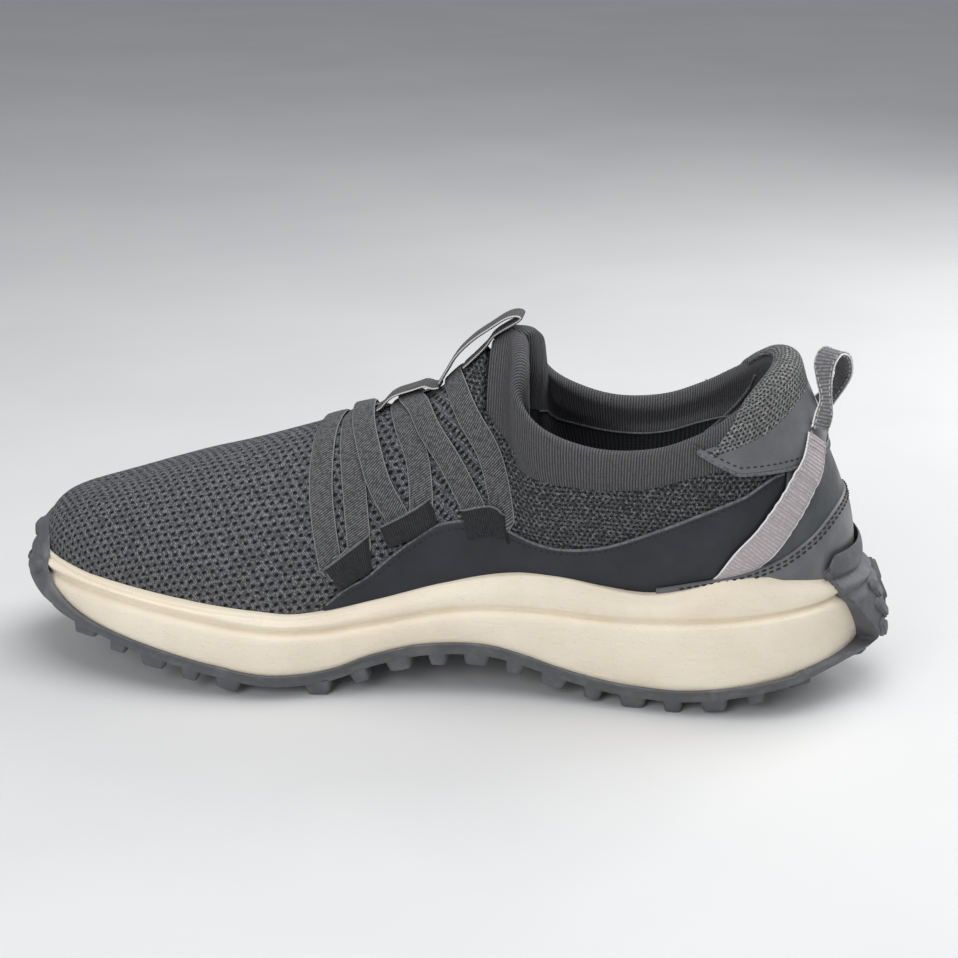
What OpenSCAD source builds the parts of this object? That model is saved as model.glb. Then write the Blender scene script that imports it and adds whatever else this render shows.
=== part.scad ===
// Slip-on golf shoe, right foot: knit upper with elastic lace on a cupped foam midsole
// and a lugged rubber outsole.
// Frame: +X to the toe, +Y to the inner (medial) side, +Z up. The origin is on the ground, mid-length.

/* [Size] */
// Length of the shoe over its lugs, mm
shoe_len = 300; // [280:1:320]
// Width factor of the whole shoe
width_scale = 1; // [0.94:0.01:1.06]
// Height of a ground lug below the outsole sheet, mm
lug_h = 4.5; // [3:0.5:4.5]
// Thickness of the outsole's rubber sheet, mm
sheet_t = 2; // [1.5:0.1:2.5]

/* [Upper] */
// Thickness of the knit, mm
knit_t = 1.6; // [1.2:0.1:1.8]
// Thickness of the lining, mm
lining_t = 1.2; // [0.8:0.1:1.4]
// Thickness of the smooth overlays, mm
overlay_t = 1.1; // [0.8:0.1:1.3]
// Width of the elastic lace band, mm
lace_w = 8; // [6:0.5:9]
// Width of the heel pull strap, mm
strap_w = 11; // [8:0.5:12]

/* [Sole] */
// Thickness of the removable footbed, mm
footbed_t = 4.5; // [3:0.5:5]
// Place of the toe flex line ahead of mid-length, mm
flex_x = 55; // [53:0.5:57]
// Height of the toe flex axis, mm
flex_z = 30.5; // [30:0.5:33]

/* [Hidden] */

// ---- small helpers ----
function lerp(a, b, t) = a + (b - a) * t;
function clamp(x, a, b) = min(max(x, a), b);
function unit(v) = v / norm(v);
function smooth(t) = let (u = clamp(t, 0, 1)) u * u * (3 - 2 * u);
function flat1(lists) = [for (l = lists) for (x = l) x];
function steps(a, b, n) = [for (i = [0:n]) lerp(a, b, i / n)];
// Catmull-Rom blend of four rows or numbers
function blend4(a, b, c, d, t) =
    0.5 * (2 * b + (c - a) * t + (2 * a - 5 * b + 4 * c - d) * t * t
        + (3 * b - a - 3 * c + d) * t * t * t);
// Smooth curve through [x, value] knots, x falling along the list
function knot(tab, x) = let (
    n = len(tab) - 1,
    i = clamp(search_knot(tab, x, 0), 0, n - 1),
    t = clamp((x - tab[i][0]) / (tab[i + 1][0] - tab[i][0]), 0, 1)
) blend4(tab[max(i - 1, 0)][1], tab[i][1], tab[i + 1][1], tab[min(i + 2, n)][1], t);
function search_knot(tab, x, i) =
    i >= len(tab) - 2 || x > tab[i + 1][0] ? i : search_knot(tab, x, i + 1);

// ---- heights of the sole's lines along the length, [x, z] ----
// Rim of the foam cup, where the upper enters it
rim_knots = [[148, 42], [136, 40], [120, 37], [84, 32.5], [57, 30], [44, 29], [22, 33], [-5, 39.7],
    [-25, 43.5], [-42, 44.3], [-58, 42], [-71, 41], [-82, 43.3], [-97, 48.3], [-112, 49.3], [-126, 46.5],
    [-140, 44.5]];
// Groove that runs round the foam's side
groove_knots = [[148, 35.5], [120, 33.6], [88, 29.6], [57, 25], [42, 24], [28, 25.3], [-10, 31.5],
    [-42, 32.2], [-58, 31.7], [-90, 34], [-121, 37.8], [-140, 41.5]];
// Rise of the foam's lower edge above the two places where the lugs stand on the ground
edge_rise = [[148, 27.4], [141, 21.4], [133, 16.9], [120, 13.9], [97, 8.4], [70, 2.6], [56, 0], [42, 0],
    [32, 1.9], [22, 5.7], [6, 9.4], [-14, 10.4], [-26, 8.4], [-42, 4], [-58, 0.9], [-70, 0], [-84, 0],
    [-100, 2.1], [-117, 5.8], [-132, 11], [-140, 14.5]];
// Floor of the foot cavity
floor_knots = [[148, 30], [120, 25.5], [90, 22.5], [55, 21.5], [20, 22.5], [-20, 26], [-60, 29], [-140, 31]];

// ---- sections round the upper, toe tip to heel back ----
// [plan angle, bottom x, medial y, lateral y, top x, medial y, lateral y, top z,
//  bulge, lower handle, collar share]
stations = [
    [0, 142, 8, 8, 122, 5, 5, 59.3, 7, 0.8, 0],
    [26, 140, 17.5, -1.5, 120.5, 4.8, 4.8, 59.8, 7, 0.76, 0],
    [48, 134, 26, -11.5, 116, 4.5, 4.5, 61.2, 6.5, 0.68, 0],
    [64, 124, 32.5, -21.5, 109, 4, 4, 63.6, 6, 0.58, 0],
    [77, 109, 37.5, -31.5, 99, 3.5, 3.5, 67.2, 5.5, 0.5, 0],
    [86, 91, 40.5, -38.5, 86, 3, 3, 71.6, 5, 0.45, 0],
    [90, 73, 42, -42, 72, 3, 3, 75.6, 5, 0.42, 0],
    [90, flex_x, 41.5, -43, flex_x, 3, 3, 81, 5, 0.4, 0],
    [90, 38, 37, -42, 38, 3, 3, 86.6, 5, 0.38, 0],
    [90, 21, 32.5, -38, 21, 3, 3, 91.6, 5, 0.36, 0],
    [90, 5, 29, -34, 5, 3, 3, 97.8, 5, 0.34, 0],
    [90, -8, 27, -31, -8, 3, 3, 109.5, 5, 0.32, 0.05],
    [90, -19, 25.8, -29, -21, 3, 3, 121.5, 5, 0.3, 0.15],
    [90, -28, 25.2, -28, -24.5, 17, -13, 117.5, 5, 0.3, 0.5],
    [90, -36, 25.2, -27.5, -26, 26.5, -24.5, 107.5, 5.5, 0.3, 0.8],
    [90, -45, 25.5, -27.2, -34.5, 30.5, -30, 96.5, 6, 0.32, 1],
    [90, -56, 26, -27, -52, 31.6, -31.6, 90.3, 6, 0.33, 1],
    [90, -70, 27, -27, -70, 32.4, -32.4, 91, 6, 0.34, 1],
    [90, -84, 27.6, -27, -84, 32.4, -32.4, 96, 6.5, 0.34, 1],
    [98, -99, 26.6, -26, -94.5, 30.6, -30.6, 102, 7.5, 0.34, 1],
    [112, -113, 23, -22.6, -103.5, 26, -26, 108, 9.5, 0.34, 1],
    [134, -124, 16.5, -16.5, -109.5, 18.6, -18.6, 112.5, 11.5, 0.34, 1],
    [157, -130, 8.6, -8.6, -113.2, 9.8, -9.8, 114.8, 12.7, 0.34, 1],
    [180, -132, 0, 0, -114.3, 0, 0, 115.5, 13, 0.34, 1]
];
last = len(stations) - 1;
THROAT = 12;
kx = shoe_len / 300;
ky = width_scale;
// One closed loop of rows: medial from toe to heel, then lateral back to the toe
function loop_row(k) = let (
    side = k <= last ? 1 : -1,
    s = stations[k <= last ? k : 2 * last - k],
    lat = side < 0
) [cos(s[0]), side * sin(s[0]), s[1] * kx, (lat ? s[3] : s[2]) * ky, knot(floor_knots, s[1]),
    s[4] * kx, (lat ? s[6] : s[5]) * ky, s[7], s[8], s[9], s[10]];
rows = [for (k = [0:2 * last - 1]) loop_row(k)];
turns = 2 * last;
function row_at(w) = let (
    q = w - turns * floor(w / turns),
    i = floor(q)
) blend4(rows[(i + turns - 1) % turns], rows[i], rows[(i + 1) % turns], rows[(i + 2) % turns], q - i);

// Section at w: [outward direction, foot, lower handle, upper handle, top]
function section(w) = let (
    r = row_at(w),
    n = unit([r[0], r[1], 0]),
    foot = [r[2], r[3], r[4]],
    top = [r[5], r[6], r[7]],
    rise = top.z - foot.z,
    reach = max((foot - top) * n, 0),
    c = clamp(r[10], 0, 1),
    over = top + n * 0.66 * reach,
    collar = top + [0, 0, -0.36 * rise] + n * 0.1 * rise
) [n, foot, foot + n * r[8] + [0, 0, r[9] * rise], lerp(over, collar, c), top];
function bez(s, v) = let (u = 1 - v)
    u * u * u * s[1] + 3 * u * u * v * s[2] + 3 * u * v * v * s[3] + v * v * v * s[4];
function bez_d(s, v) = let (u = 1 - v)
    3 * u * u * (s[2] - s[1]) + 6 * u * v * (s[3] - s[2]) + 3 * v * v * (s[4] - s[3]);
// v where the section reaches a height
function v_at(s, z, a = 0, b = 1, n = 11) = let (m = (a + b) / 2)
    n == 0 ? m : (bez(s, m).z < z ? v_at(s, z, m, b, n - 1) : v_at(s, z, a, m, n - 1));
// w where the foot line of the medial side reaches x
function w_at(x, a = 0, b = last, n = 14) = let (m = (a + b) / 2)
    n == 0 ? m : (row_at(m)[2] > x ? w_at(x, m, b, n - 1) : w_at(x, a, m, n - 1));
function other(w) = turns - w;
// Points of the column at w, over the v list, at offset d from the upper's outer face
function column(w, vs, d) = let (s = section(w), s2 = section(w + 0.02)) [for (v = vs)
    let (p = bez(s, v), out = cross(bez(s2, v) - p, bez_d(s, v)))
    p + d * (norm(out) < 1e-9 ? s[0] : unit(out))];

// ---- solids from grids of points ----
module meshed() resize([0, 0, 0]) children();
function tri(a, b, c) = a == b || b == c || a == c ? [] : [[a, b, c]];
function quad(a, b, c, d) = concat(tri(a, b, c), tri(a, c, d));
// Closed shell between grids a and b. Column i and its mirror column share their first
// point when low is true, and their last point when high[i] is true.
module shell(a, b, low = false, high = []) {
    ni = len(a);
    nj = len(a[0]);
    m = ni * nj;
    function fold(i) = len(high) > 0 && high[i];
    function shared(i, j) = (j == 0 && low) || (j == nj - 1 && fold(i));
    function id(k, i, j) = k * m + (shared(i, j) ? min(i, ni - 1 - i) : i) * nj + j;
    polyhedron(concat(flat1(a), flat1(b)), flat1(concat(
        [for (i = [0:ni - 2]) for (j = [0:nj - 2])
            quad(id(0, i, j), id(0, i + 1, j), id(0, i + 1, j + 1), id(0, i, j + 1))],
        [for (i = [0:ni - 2]) for (j = [0:nj - 2])
            quad(id(1, i, j), id(1, i, j + 1), id(1, i + 1, j + 1), id(1, i + 1, j))],
        low ? [] : [for (i = [0:ni - 2])
            quad(id(0, i, 0), id(1, i, 0), id(1, i + 1, 0), id(0, i + 1, 0))],
        [for (i = [0:ni - 2]) if (!(fold(i) && fold(i + 1)))
            quad(id(0, i, nj - 1), id(0, i + 1, nj - 1), id(1, i + 1, nj - 1), id(1, i, nj - 1))],
        [for (j = [0:nj - 2]) quad(id(0, 0, j), id(0, 0, j + 1), id(1, 0, j + 1), id(1, 0, j))],
        [for (j = [0:nj - 2])
            quad(id(0, ni - 1, j), id(1, ni - 1, j), id(1, ni - 1, j + 1), id(0, ni - 1, j + 1))]
    )));
}

// Point of the upper at w and v, offset d outward
function pt(w, v, d) = column(w, [v], d)[0];
// Same, with s running over the ridge: 0 medial foot, 1 ridge, 2 lateral foot
function over(w, s, d) = s <= 1 ? pt(w, s, d) : pt(other(w), 2 - s, d);
function v_of(w, z) = v_at(section(w), z);
// Distance of w from the toe tip, the same on both sides
function along(w) = let (q = abs(w)) min(q, turns - q);

// ---- depth between knit and lining ----
stiff_t = 1.4; // toe puff and heel counter
pad_t = 4; // collar padding
play = 0.1; // space on each face of a stiffener or a pad
function stiff_share(w) = max(1 - smooth((along(w) - 3) / 2), smooth((along(w) - 15) / 2));
// u is the share of the height below the collar band
function pad_share(w, u) = smooth((along(w) - 15) / 2) * smooth((u - 0.5) / 0.25);
function gap_at(w, u) = 2 * play + (stiff_t + 2 * play) * stiff_share(w) + pad_t * pad_share(w, u);
function lining_in(w, u) = knit_t + gap_at(w, u) + lining_t;

// ---- collar ----
// Lower edge of the collar band, [distance along, z]
band_low = [[23, 87], [21, 86.5], [19, 86], [18, 83], [17, 78.5], [16, 77], [15, 78.8], [14, 81.7],
    [13, 85], [12, 90], [11.5, 97]];
BAND_FROM = 11.5;
function band_v(w) = v_of(w, knot(band_low, along(w)));

// ---- sole helpers ----
bond = 0.1; // space of the glue line between rubber and foam
under_in = 3; // how far the underside's edge lies inside the foam's widest line
base_z = lug_h + sheet_t + bond;
function edge_z(x) = knot(edge_rise, x / kx) + base_z;
function rim_z(x) = knot(rim_knots, x / kx);
function groove_z(x) = knot(groove_knots, x / kx);
// How far the foam's widest line stands outside the foot line, [x, offset]
wall_knots = [[148, 6], [124, 7.5], [91, 9.5], [55, 8.3], [5, 8.5], [-28, 9.8], [-56, 11], [-95, 12],
    [-140, 11]];
function foot(k) = section(k)[1];
function wall(k) = knot(wall_knots, foot(k).x / kx);
// Place of the sole's middle under station k
function spine(k) = let (r = row_at(k), q = row_at(other(k)), a = along(k))
    [a <= THROAT || a >= 19 ? r[5] : r[2], (r[3] + q[3]) / 2];
// How far the upper's face stands outside the foot line at height z
function face_off(k, z) = let (s = section(k), p = bez(s, v_at(s, z))) (p - s[1]) * s[0];
// Side of the foam at station k as [z, offset] pairs
function foam_side(k) = let (
    x = foot(k).x,
    e = edge_z(x),
    g = groove_z(x),
    r = rim_z(x),
    w = wall(k),
    back = along(k) > 20 ? 2 : 0,
    lip = max(w - 4.4 - back, face_off(k, r) + 1.4)
) [[e, w - 3], [e + 3, w - 0.6], [lerp(e, g, 0.55), w], [g - 1.2, w - 1.4], [g, w - 2.6],
    [g + 1.2, w - 1.8], [r - 1.5, lip + 0.6], [r, lip]];
function at_off(k, off, z) = let (f = section(k)) [f[1].x, f[1].y, z] + f[0] * off;
function shift(points, dx) = [for (p = points) p + [dx, 0, 0]];
SPLIT = 7;
CUT = 0.15;
heel_half = [19, 19.5, 20, 20.6, 21, 21.5, 22, 22.5, 23];
fore_ks = [for (k = [-SPLIT:SPLIT]) k];
toe_half = [0.5, 1, 1.5, 2, 2.5, 3, 3.5, 4, 5, 6, 7];
sole_fore_ks = concat([for (i = [len(toe_half) - 1:-1:0]) -toe_half[i]], [0], toe_half);
function both(half) = concat(half, [for (i = [len(half) - 2:-1:0]) turns - half[i]]);
sole_heel_ks = both(concat([for (k = [SPLIT:18]) k], heel_half));
// The flex line cuts every sole piece; dir is 1 for the forefoot half and -1 for the heel half
function parted(ks, dir, f) = [for (k = ks) let (c = f(k)) along(k) == SPLIT ? shift(c, dir * CUT) : c];

// Flat piece of the sole: offsets from the foot line, bottom and top heights above the floor
module board(ks, dir, inset, z0, z1) {
    col = function (dz) function (k) let (
        f = foot(k),
        p = spine(k),
        q = f + section(k)[0] * inset(k)
    ) [for (t = [0, 0.5, 1]) let (x = lerp(p.x, q.x, t))
        [x, lerp(p.y, q.y, t), knot(floor_knots, x / kx) + dz]];
    shell(parted(ks, dir, col(z1)), parted(ks, dir, col(z0)), low = true);
}

module midsole(ks, dir) {
    bottom = function (k) let (p = spine(k), q = at_off(k, wall(k) - under_in, 0)) concat(
        [for (t = [0, 0.55]) let (x = lerp(p.x, q.x, t)) [x, lerp(p.y, q.y, t), edge_z(x)]],
        [for (s = foam_side(k)) at_off(k, s[1], s[0])]
    );
    cavity = function (k) let (f = foot(k), p = spine(k), r = rim_z(f.x), low = f.z) concat(
        [for (t = [0, 0.6]) let (x = lerp(p.x, f.x, t))
            [x, lerp(p.y, f.y, t), knot(floor_knots, x / kx) - 2.2]],
        [at_off(k, 0.3, low - 2.2)],
        [for (i = [0:6]) let (z = lerp(low, r, i / 6)) at_off(k, face_off(k, z) + 0.3, z)]
    );
    shell(parted(ks, dir, cavity), parted(ks, dir, bottom), low = true);
}
module midsole_forefoot() { color("antiquewhite") midsole(sole_fore_ks, 1); }
module midsole_heel() { color("antiquewhite") midsole(sole_heel_ks, -1); }

// ---- outsole ----
// Height to which the rubber climbs at station k: over the toe and up the heel
function rubber_top(k) = let (a = along(k), x = foot(k).x)
    a <= 3 ? lerp(51, edge_z(x) + 3, smooth(a / 3))
    : a >= 20 ? lerp(edge_z(x) + 3, 54, smooth((a - 20) / 1.8)) : edge_z(x) + 3;
// Inner face of the rubber: on the foam's side, and above the rim clear of the upper
function rubber_in(k, z) = let (
    x = foot(k).x,
    upper = z > rim_z(x) - 1 ? face_off(k, z) + (along(k) > 20 ? 3 : 0.3) : 0,
    low = along(k) > 3 && along(k) < 18.5 || z < edge_z(x) + bond
) max(lookup(z, foam_side(k)), upper) + (low ? bond : 0.95);
// Thickness of the rubber on the foam's side, with the swell at the heel
function rubber_t(k, z) = let (a = along(k))
    a > 20 ? lerp(1.4, 1.4 + 5.3 * exp(-pow((z - 24) / 14, 2)), smooth((a - 20) / 2)) : 1.3;
// Heights of the rubber's rows at station k
function rubber_z(k) = let (
    x = foot(k).x,
    e = edge_z(x),
    g = groove_z(x),
    r = rim_z(x),
    t = rubber_top(k),
    tall = [e, e + 3, lerp(e, g, 0.55), g - 1.2, (g + r) / 2, r + 1, t]
) [for (i = [0:6]) t > e + 4 ? min(tall[i], t - (6 - i) * 0.1) : lerp(e, t, i / 6)];
module rubber(ks, dir) {
    under = function (k) let (p = spine(k), q = at_off(k, wall(k) - under_in, 0)) [for (t = [0, 0.55])
        let (x = lerp(p.x, q.x, t)) [x, lerp(p.y, q.y, t), edge_z(x)]];
    lowest = function (k, z) z < edge_z(foot(k).x) + bond;
    inner = function (k) concat([for (p = under(k)) p - [0, 0, bond]],
        [for (z = rubber_z(k)) at_off(k, rubber_in(k, z), z - (lowest(k, z) ? bond : 0))]);
    outer = function (k) concat([for (p = under(k)) p - [0, 0, sheet_t + bond]],
        [for (z = rubber_z(k)) let (low = lowest(k, z))
            at_off(k, rubber_in(k, z) + (low ? 0.8 : rubber_t(k, z)), z - (low ? sheet_t + bond : 0))]);
    shell(parted(ks, dir, inner), parted(ks, dir, outer), low = true);
}
function slope(x) = atan((edge_z(x + 2) - edge_z(x - 2)) / 4);
// One tapered ground lug under the rubber
module lug(x, y, size) {
    translate([x, y, edge_z(x) - sheet_t - bond]) rotate([0, -slope(x), 0])
        translate([0, 0, -lug_h]) linear_extrude(lug_h + 0.8, scale = [1.25, 1.2])
            square(size * 0.86, center = true);
}
// Side edge of the sole's underside at x; side is 1 for medial and -1 for lateral
function half_y(x, side) = let (w = w_at(x), k = side > 0 ? w : other(w)) at_off(k, wall(k) - under_in, 0).y;
lug_pitch = 13.5;
// Rows of lugs from x0 to x1: two at the sides, and between the wide ones two more inside
module lugs(x0, x1) {
    n = floor((x1 - x0) / lug_pitch);
    for (i = [0:n]) let (x = x0 + (i + 0.5) * (x1 - x0) / (n + 1))
        for (side = [-1, 1]) {
            edge = half_y(x, side);
            lug(x, edge - side * 3.4, [i % 2 == 0 ? 9 : 6.4, 7.6]);
            if (i % 2 == 0) lug(x + lug_pitch / 2, lerp(0, edge, 0.42), [8, 9]);
        }
}
module above_ground() difference() {
    children();
    translate([-300, -200, -40]) cube([600, 400, 40]);
}
module outsole_forefoot() {
    color("dimgray") meshed() above_ground() union() { rubber(sole_fore_ks, 1); lugs(62 * kx, 128 * kx); }
}
module outsole_heel() {
    color("dimgray") meshed() above_ground() union() { rubber(sole_heel_ks, -1); lugs(-128 * kx, 46 * kx); }
}

// ---- inside the sole ----
board_inset = function (k) -0.3;
module strobel_board_forefoot() { color("gainsboro") board(sole_fore_ks, 1, board_inset, -2, -0.2); }
module strobel_board_heel() { color("gainsboro") board(sole_heel_ks, -1, board_inset, -2, -0.2); }
bed_inset = function (k) -(lining_in(k, 0) + 0.8);
module footbed_forefoot() { color("darkslategray") board(sole_fore_ks, 1, bed_inset, 0.1, footbed_t); }
module footbed_heel() { color("darkslategray") board(sole_heel_ks, -1, bed_inset, 0.1, footbed_t); }

// ---- upper: knit and lining ----
flex_lean = 0.55;
v_count = 8;
unit_v = steps(0, 1, v_count);
// w of the slanted rear edge of the toe box at share v
function toe_edge(v) = SPLIT - flex_lean * max(bez(section(SPLIT), v).z - flex_z, 0) / 17.5;
function toe_column(k, d) = [for (v = unit_v) let (w = k * toe_edge(v) / SPLIT)
    pt(w, v, d(w, v)) + (abs(k) == SPLIT ? [CUT, 0, 0] : [0, 0, 0])];
module toe_layer(d0, d1) {
    shell([for (k = fore_ks) toe_column(k, d1)], [for (k = fore_ks) toe_column(k, d0)],
        high = [for (k = fore_ks) true]);
}
rear_half = concat([7, 8, 8.7, 9.3, 9.7, 10.1, 10.5, 11, BAND_FROM - 0.06, BAND_FROM, 12],
    [for (k = [13:18]) k], heel_half);
rear_ws = concat(rear_half, [for (i = [len(rear_half) - 2:-1:0]) turns - rear_half[i]]);
function rear_top(w) = along(w) < BAND_FROM - 0.01 ? 1 : band_v(w) - 0.014;
function rear_column(w, d) = [for (u = unit_v) let (v = u * rear_top(w))
    pt(w, v, d(w, u)) - (along(w) == SPLIT ? [CUT, 0, 0] : [0, 0, 0])];
module rear_layer(d0, d1) {
    shell([for (w = rear_ws) rear_column(w, d0)], [for (w = rear_ws) rear_column(w, d1)],
        high = [for (w = rear_ws) along(w) < BAND_FROM - 0.01]);
}
no_depth = function (w, u) 0;
knit_depth = function (w, u) -knit_t;
lining_out = function (w, u) -knit_t - gap_at(w, u);
lining_deep = function (w, u) -lining_in(w, u);
module toe_box_knit() { color([0.16, 0.16, 0.17]) toe_layer(no_depth, knit_depth); }
module quarter_knit() { color([0.16, 0.16, 0.17]) rear_layer(knit_depth, no_depth); }
module toe_lining() { color([0.1, 0.1, 0.1]) toe_layer(lining_out, lining_deep); }
module quarter_lining() { color([0.1, 0.1, 0.1]) rear_layer(lining_deep, lining_out); }
// Knit and lining where the vamp creases, a wedge above the flex line
module vamp_flex_zone() {
    v0 = v_of(SPLIT, flex_z + 5);
    across = concat(steps(v0, 1, 7), [for (i = [1:7]) 1 + i * (1 - v0) / 7]);
    cols = function (deep) [for (s = across) let (v = s <= 1 ? s : 2 - s, e = toe_edge(v) + 0.03)
        [for (t = [0, 0.5, 1]) let (w = lerp(e, SPLIT - 0.03, t))
            over(w, s, deep ? -lining_in(w, v) : 0)]];
    color([0.2, 0.2, 0.21]) shell(cols(false), cols(true));
}

// ---- pieces between and over the knit ----
// Patch of a layer: columns ws, from share lo(w) to hi(w), between offsets d0 and d1
module patch(ws, lo, hi, d0, d1, n = 5) {
    col = function (w, d) [for (t = steps(0, 1, n)) let (v = lerp(lo(w), hi(w), t)) pt(w, v, d(w, v))];
    shell([for (w = ws) col(w, d0)], [for (w = ws) col(w, d1)]);
}
function flat_d(d) = function (w, v) d;
// Stiffeners between knit and lining, on the same grid as the knit
module toe_puff() {
    col = function (k, d) [for (j = [1:6]) let (v = unit_v[j], w = k * toe_edge(v) / SPLIT) pt(w, v, d)];
    ks = [for (k = [-3:3]) k];
    color("beige")
        shell([for (k = ks) col(k, -knit_t - play - stiff_t)], [for (k = ks) col(k, -knit_t - play)]);
}
// Sheet round the heel over the rows j0 to j1 of the knit's grid
module heel_sheet(j0, j1, inner, outer) {
    ws = both(concat([17, 18], heel_half));
    col = function (w, d) [for (j = [j0:j1]) pt(w, unit_v[j] * rear_top(w), d(w, unit_v[j]))];
    shell([for (w = ws) col(w, inner)], [for (w = ws) col(w, outer)]);
}
module heel_counter() {
    color("tan") heel_sheet(1, 4, flat_d(-knit_t - play - stiff_t), flat_d(-knit_t - play));
}
module collar_padding() {
    color("lightyellow") heel_sheet(6, v_count, function (w, u) 0.15 - knit_t - gap_at(w, u),
        flat_d(-knit_t - 0.15));
}
// Padded rib band round the foot opening
module collar_band() {
    half = concat([BAND_FROM + 0.05, 12, 12.5], [for (k = [13:18]) k], heel_half);
    ws = both(half);
    puff = [0, 0.7, 1, 0.9, 0.3, -1.2];
    hollow = [4.2, 5.2, 5.4, 5.2, 4.6, 3.4];
    n = len(puff) - 1;
    col = function (w, inner) [for (i = [0:n]) let (v = lerp(band_v(w), 1, i / n), h = pad_share(w, 1))
        pt(w, v, inner ? -hollow[i] - h * (3.4 - 0.5 * i) : puff[i])];
    color([0.14, 0.14, 0.15]) shell([for (w = ws) col(w, true)], [for (w = ws) col(w, false)],
        high = [for (w = ws) along(w) <= THROAT]);
}

// Heights of the overlays' edges along the shoe, [x, z]
saddle_top = [[38, 31], [30, 37], [23, 41], [16, 47], [10, 52], [0, 58.5], [-10, 60.5], [-21, 59],
    [-30, 56], [-42, 55], [-56, 57], [-71, 63], [-88, 71], [-103, 77], [-115, 83], [-140, 84]];
foxing_top = [[-71, 43], [-88, 47], [-102, 50.5], [-114, 55.5], [-123, 62], [-132, 70]];
function face_x(w, z) = let (s = section(w)) bez(s, v_at(s, z)).x / kx;
function saddle_v(w) = v_of(w, knot(saddle_top, face_x(w, 65)));
function rim_v(w, dz) = v_of(w, rim_z(foot(w).x) + dz);
SIDE_END = 20.6;
module saddle(ws) {
    color([0.07, 0.08, 0.1]) patch(ws, function (w) rim_v(w, 0.8), function (w) max(saddle_v(w), rim_v(w, 2)),
        flat_d(0.1), flat_d(overlay_t + 0.1));
}
saddle_ws = concat([8.05, 8.5], [for (k = [9:18]) k], [19, 19.5, 20, SIDE_END - 0.05]);
module saddle_medial() { saddle(saddle_ws); }
module saddle_lateral() { saddle([for (i = [len(saddle_ws) - 1:-1:0]) turns - saddle_ws[i]]); }
module heel_panel() {
    color([0.1, 0.1, 0.11]) patch(both([SIDE_END + 0.05, 21, 21.5, 22, 22.5, 23]), function (w) rim_v(w, 0.8),
        function (w) v_of(w, 83), flat_d(0.1), flat_d(overlay_t + 0.1));
}
module heel_foxing() {
    color([0.22, 0.22, 0.23]) patch(both(concat([17.3, 18], heel_half)), function (w) rim_v(w, 1.2),
        function (w) v_of(w, knot(foxing_top, foot(w).x / kx)), flat_d(overlay_t + 0.35),
        flat_d(2 * overlay_t + 0.35));
}
patch_top = [[23, 108], [22, 107], [21, 104], [20, 99], [19, 95], [18.1, 92]];
module heel_collar_patch() {
    color([0.2, 0.2, 0.21]) patch(both(concat([18.1, 18.6], heel_half)),
        function (w) v_of(w, along(w) < 19 ? 86 + (19 - along(w)) * 4 : 86),
        function (w) v_of(w, knot(patch_top, along(w))), flat_d(1.15), flat_d(1.15 + overlay_t), n = 4);
}

// ---- heel strap and pull loop ----
// [height, middle of the strap as w, half width as w]
strap_path = [[55, 19.3, 0.44], [62, 19.75, 0.46], [70, 20.25, 0.46], [78, 20.82, 0.44], [84, 21.3, 0.44],
    [91, 21.8, 0.46]];
module heel_strap(side) {
    col = function (d) [for (r = strap_path) [for (t = [-1, 0, 1]) let (
        w = r[1] + t * side * r[2],
        lift = r[0] > 80 ? 1.15 : 0,
        k = side > 0 ? w : turns - r[1] + t * side * r[2]
    ) pt(k, v_of(k, r[0]), overlay_t + 0.7 + lift + d)]];
    color("lightslategray") shell(col(side > 0 ? 1 : 0), col(side > 0 ? 0 : 1));
}
module heel_strap_medial() { heel_strap(1); }
module heel_strap_lateral() { heel_strap(-1); }

// Ribbon along a list of [middle, width direction] rows, w wide and t thick
module ribbon(path, w, t) {
    n = len(path) - 1;
    col = function (i, d) let (
        dir = unit(path[min(i + 1, n)][0] - path[max(i - 1, 0)][0]),
        side = unit(path[i][1]),
        out = unit(cross(dir, side))
    ) [for (k = [-0.5, 0.5]) path[i][0] + side * w * k + out * t * (d ? 0.5 : -0.5)];
    shell([for (i = [0:n]) col(i, false)], [for (i = [0:n]) col(i, true)]);
}
// The loop turns on its near leg, so that its far leg bows out behind
loop_mid = [[-124.4, 12.6, 94.5], [-125.4, 11.2, 98.6], [-125.8, 8.8, 103.5], [-125, 6.2, 109.5],
    [-125, 3.8, 114.6], [-127, 1.2, 117.4], [-130, -2.2, 115.6], [-131.4, -5.6, 109.8], [-129.8, -9, 102.5],
    [-124.8, -12.6, 94.5]];
loop_turn = [[-0.62, -0.78, 0], [-0.84, -0.54, 0], [-0.98, -0.17, 0], [-0.96, 0.26, 0], [-0.84, 0.54, 0],
    [-0.75, 0.66, 0], [-0.68, 0.73, 0], [-0.64, 0.77, 0], [-0.62, 0.78, 0], [-0.62, 0.78, 0]];
module heel_pull_loop() {
    rows = [for (i = [0:len(loop_mid) - 1]) [loop_mid[i], loop_turn[i]]];
    color("lightslategray") ribbon(rows, strap_w - 1.5, 1.3);
}

// ---- front strip, pull tab and lace ----
// Webbing along the ridge: [w, lift of its lower face]
strip_rows = [[8.84, 0.35], [8.95, 1.2], [9.06, 3.8], [9.35, 3.9], [9.93, 3.8], [10.05, 1.4], [10.16, 0.4]];
module vamp_strip() {
    col = function (r, d) [for (s = [0.91, 0.97, 1.03, 1.09]) over(r[0], s, r[1] + d)];
    color("slategray") shell([for (r = strip_rows) col(r, 0)], [for (r = strip_rows) col(r, 1)]);
}
// Finger tab: up from the strip, over the fold at the tongue's top and back down to the tongue
tab_mid = [[2.5, 99.9], [0.5, 103.4], [-3.5, 110], [-9, 115.6], [-15, 120], [-20, 123.5], [-23.4, 124.6],
    [-24, 123.2], [-20, 120.2], [-15, 116.9], [-10.5, 113.3]];
module front_pull_tab() {
    color("slategray") ribbon([for (p = tab_mid) [[p[0], 3, p[1] + 2.2], [0, 1, 0]]], 10, 1.1);
}
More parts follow.
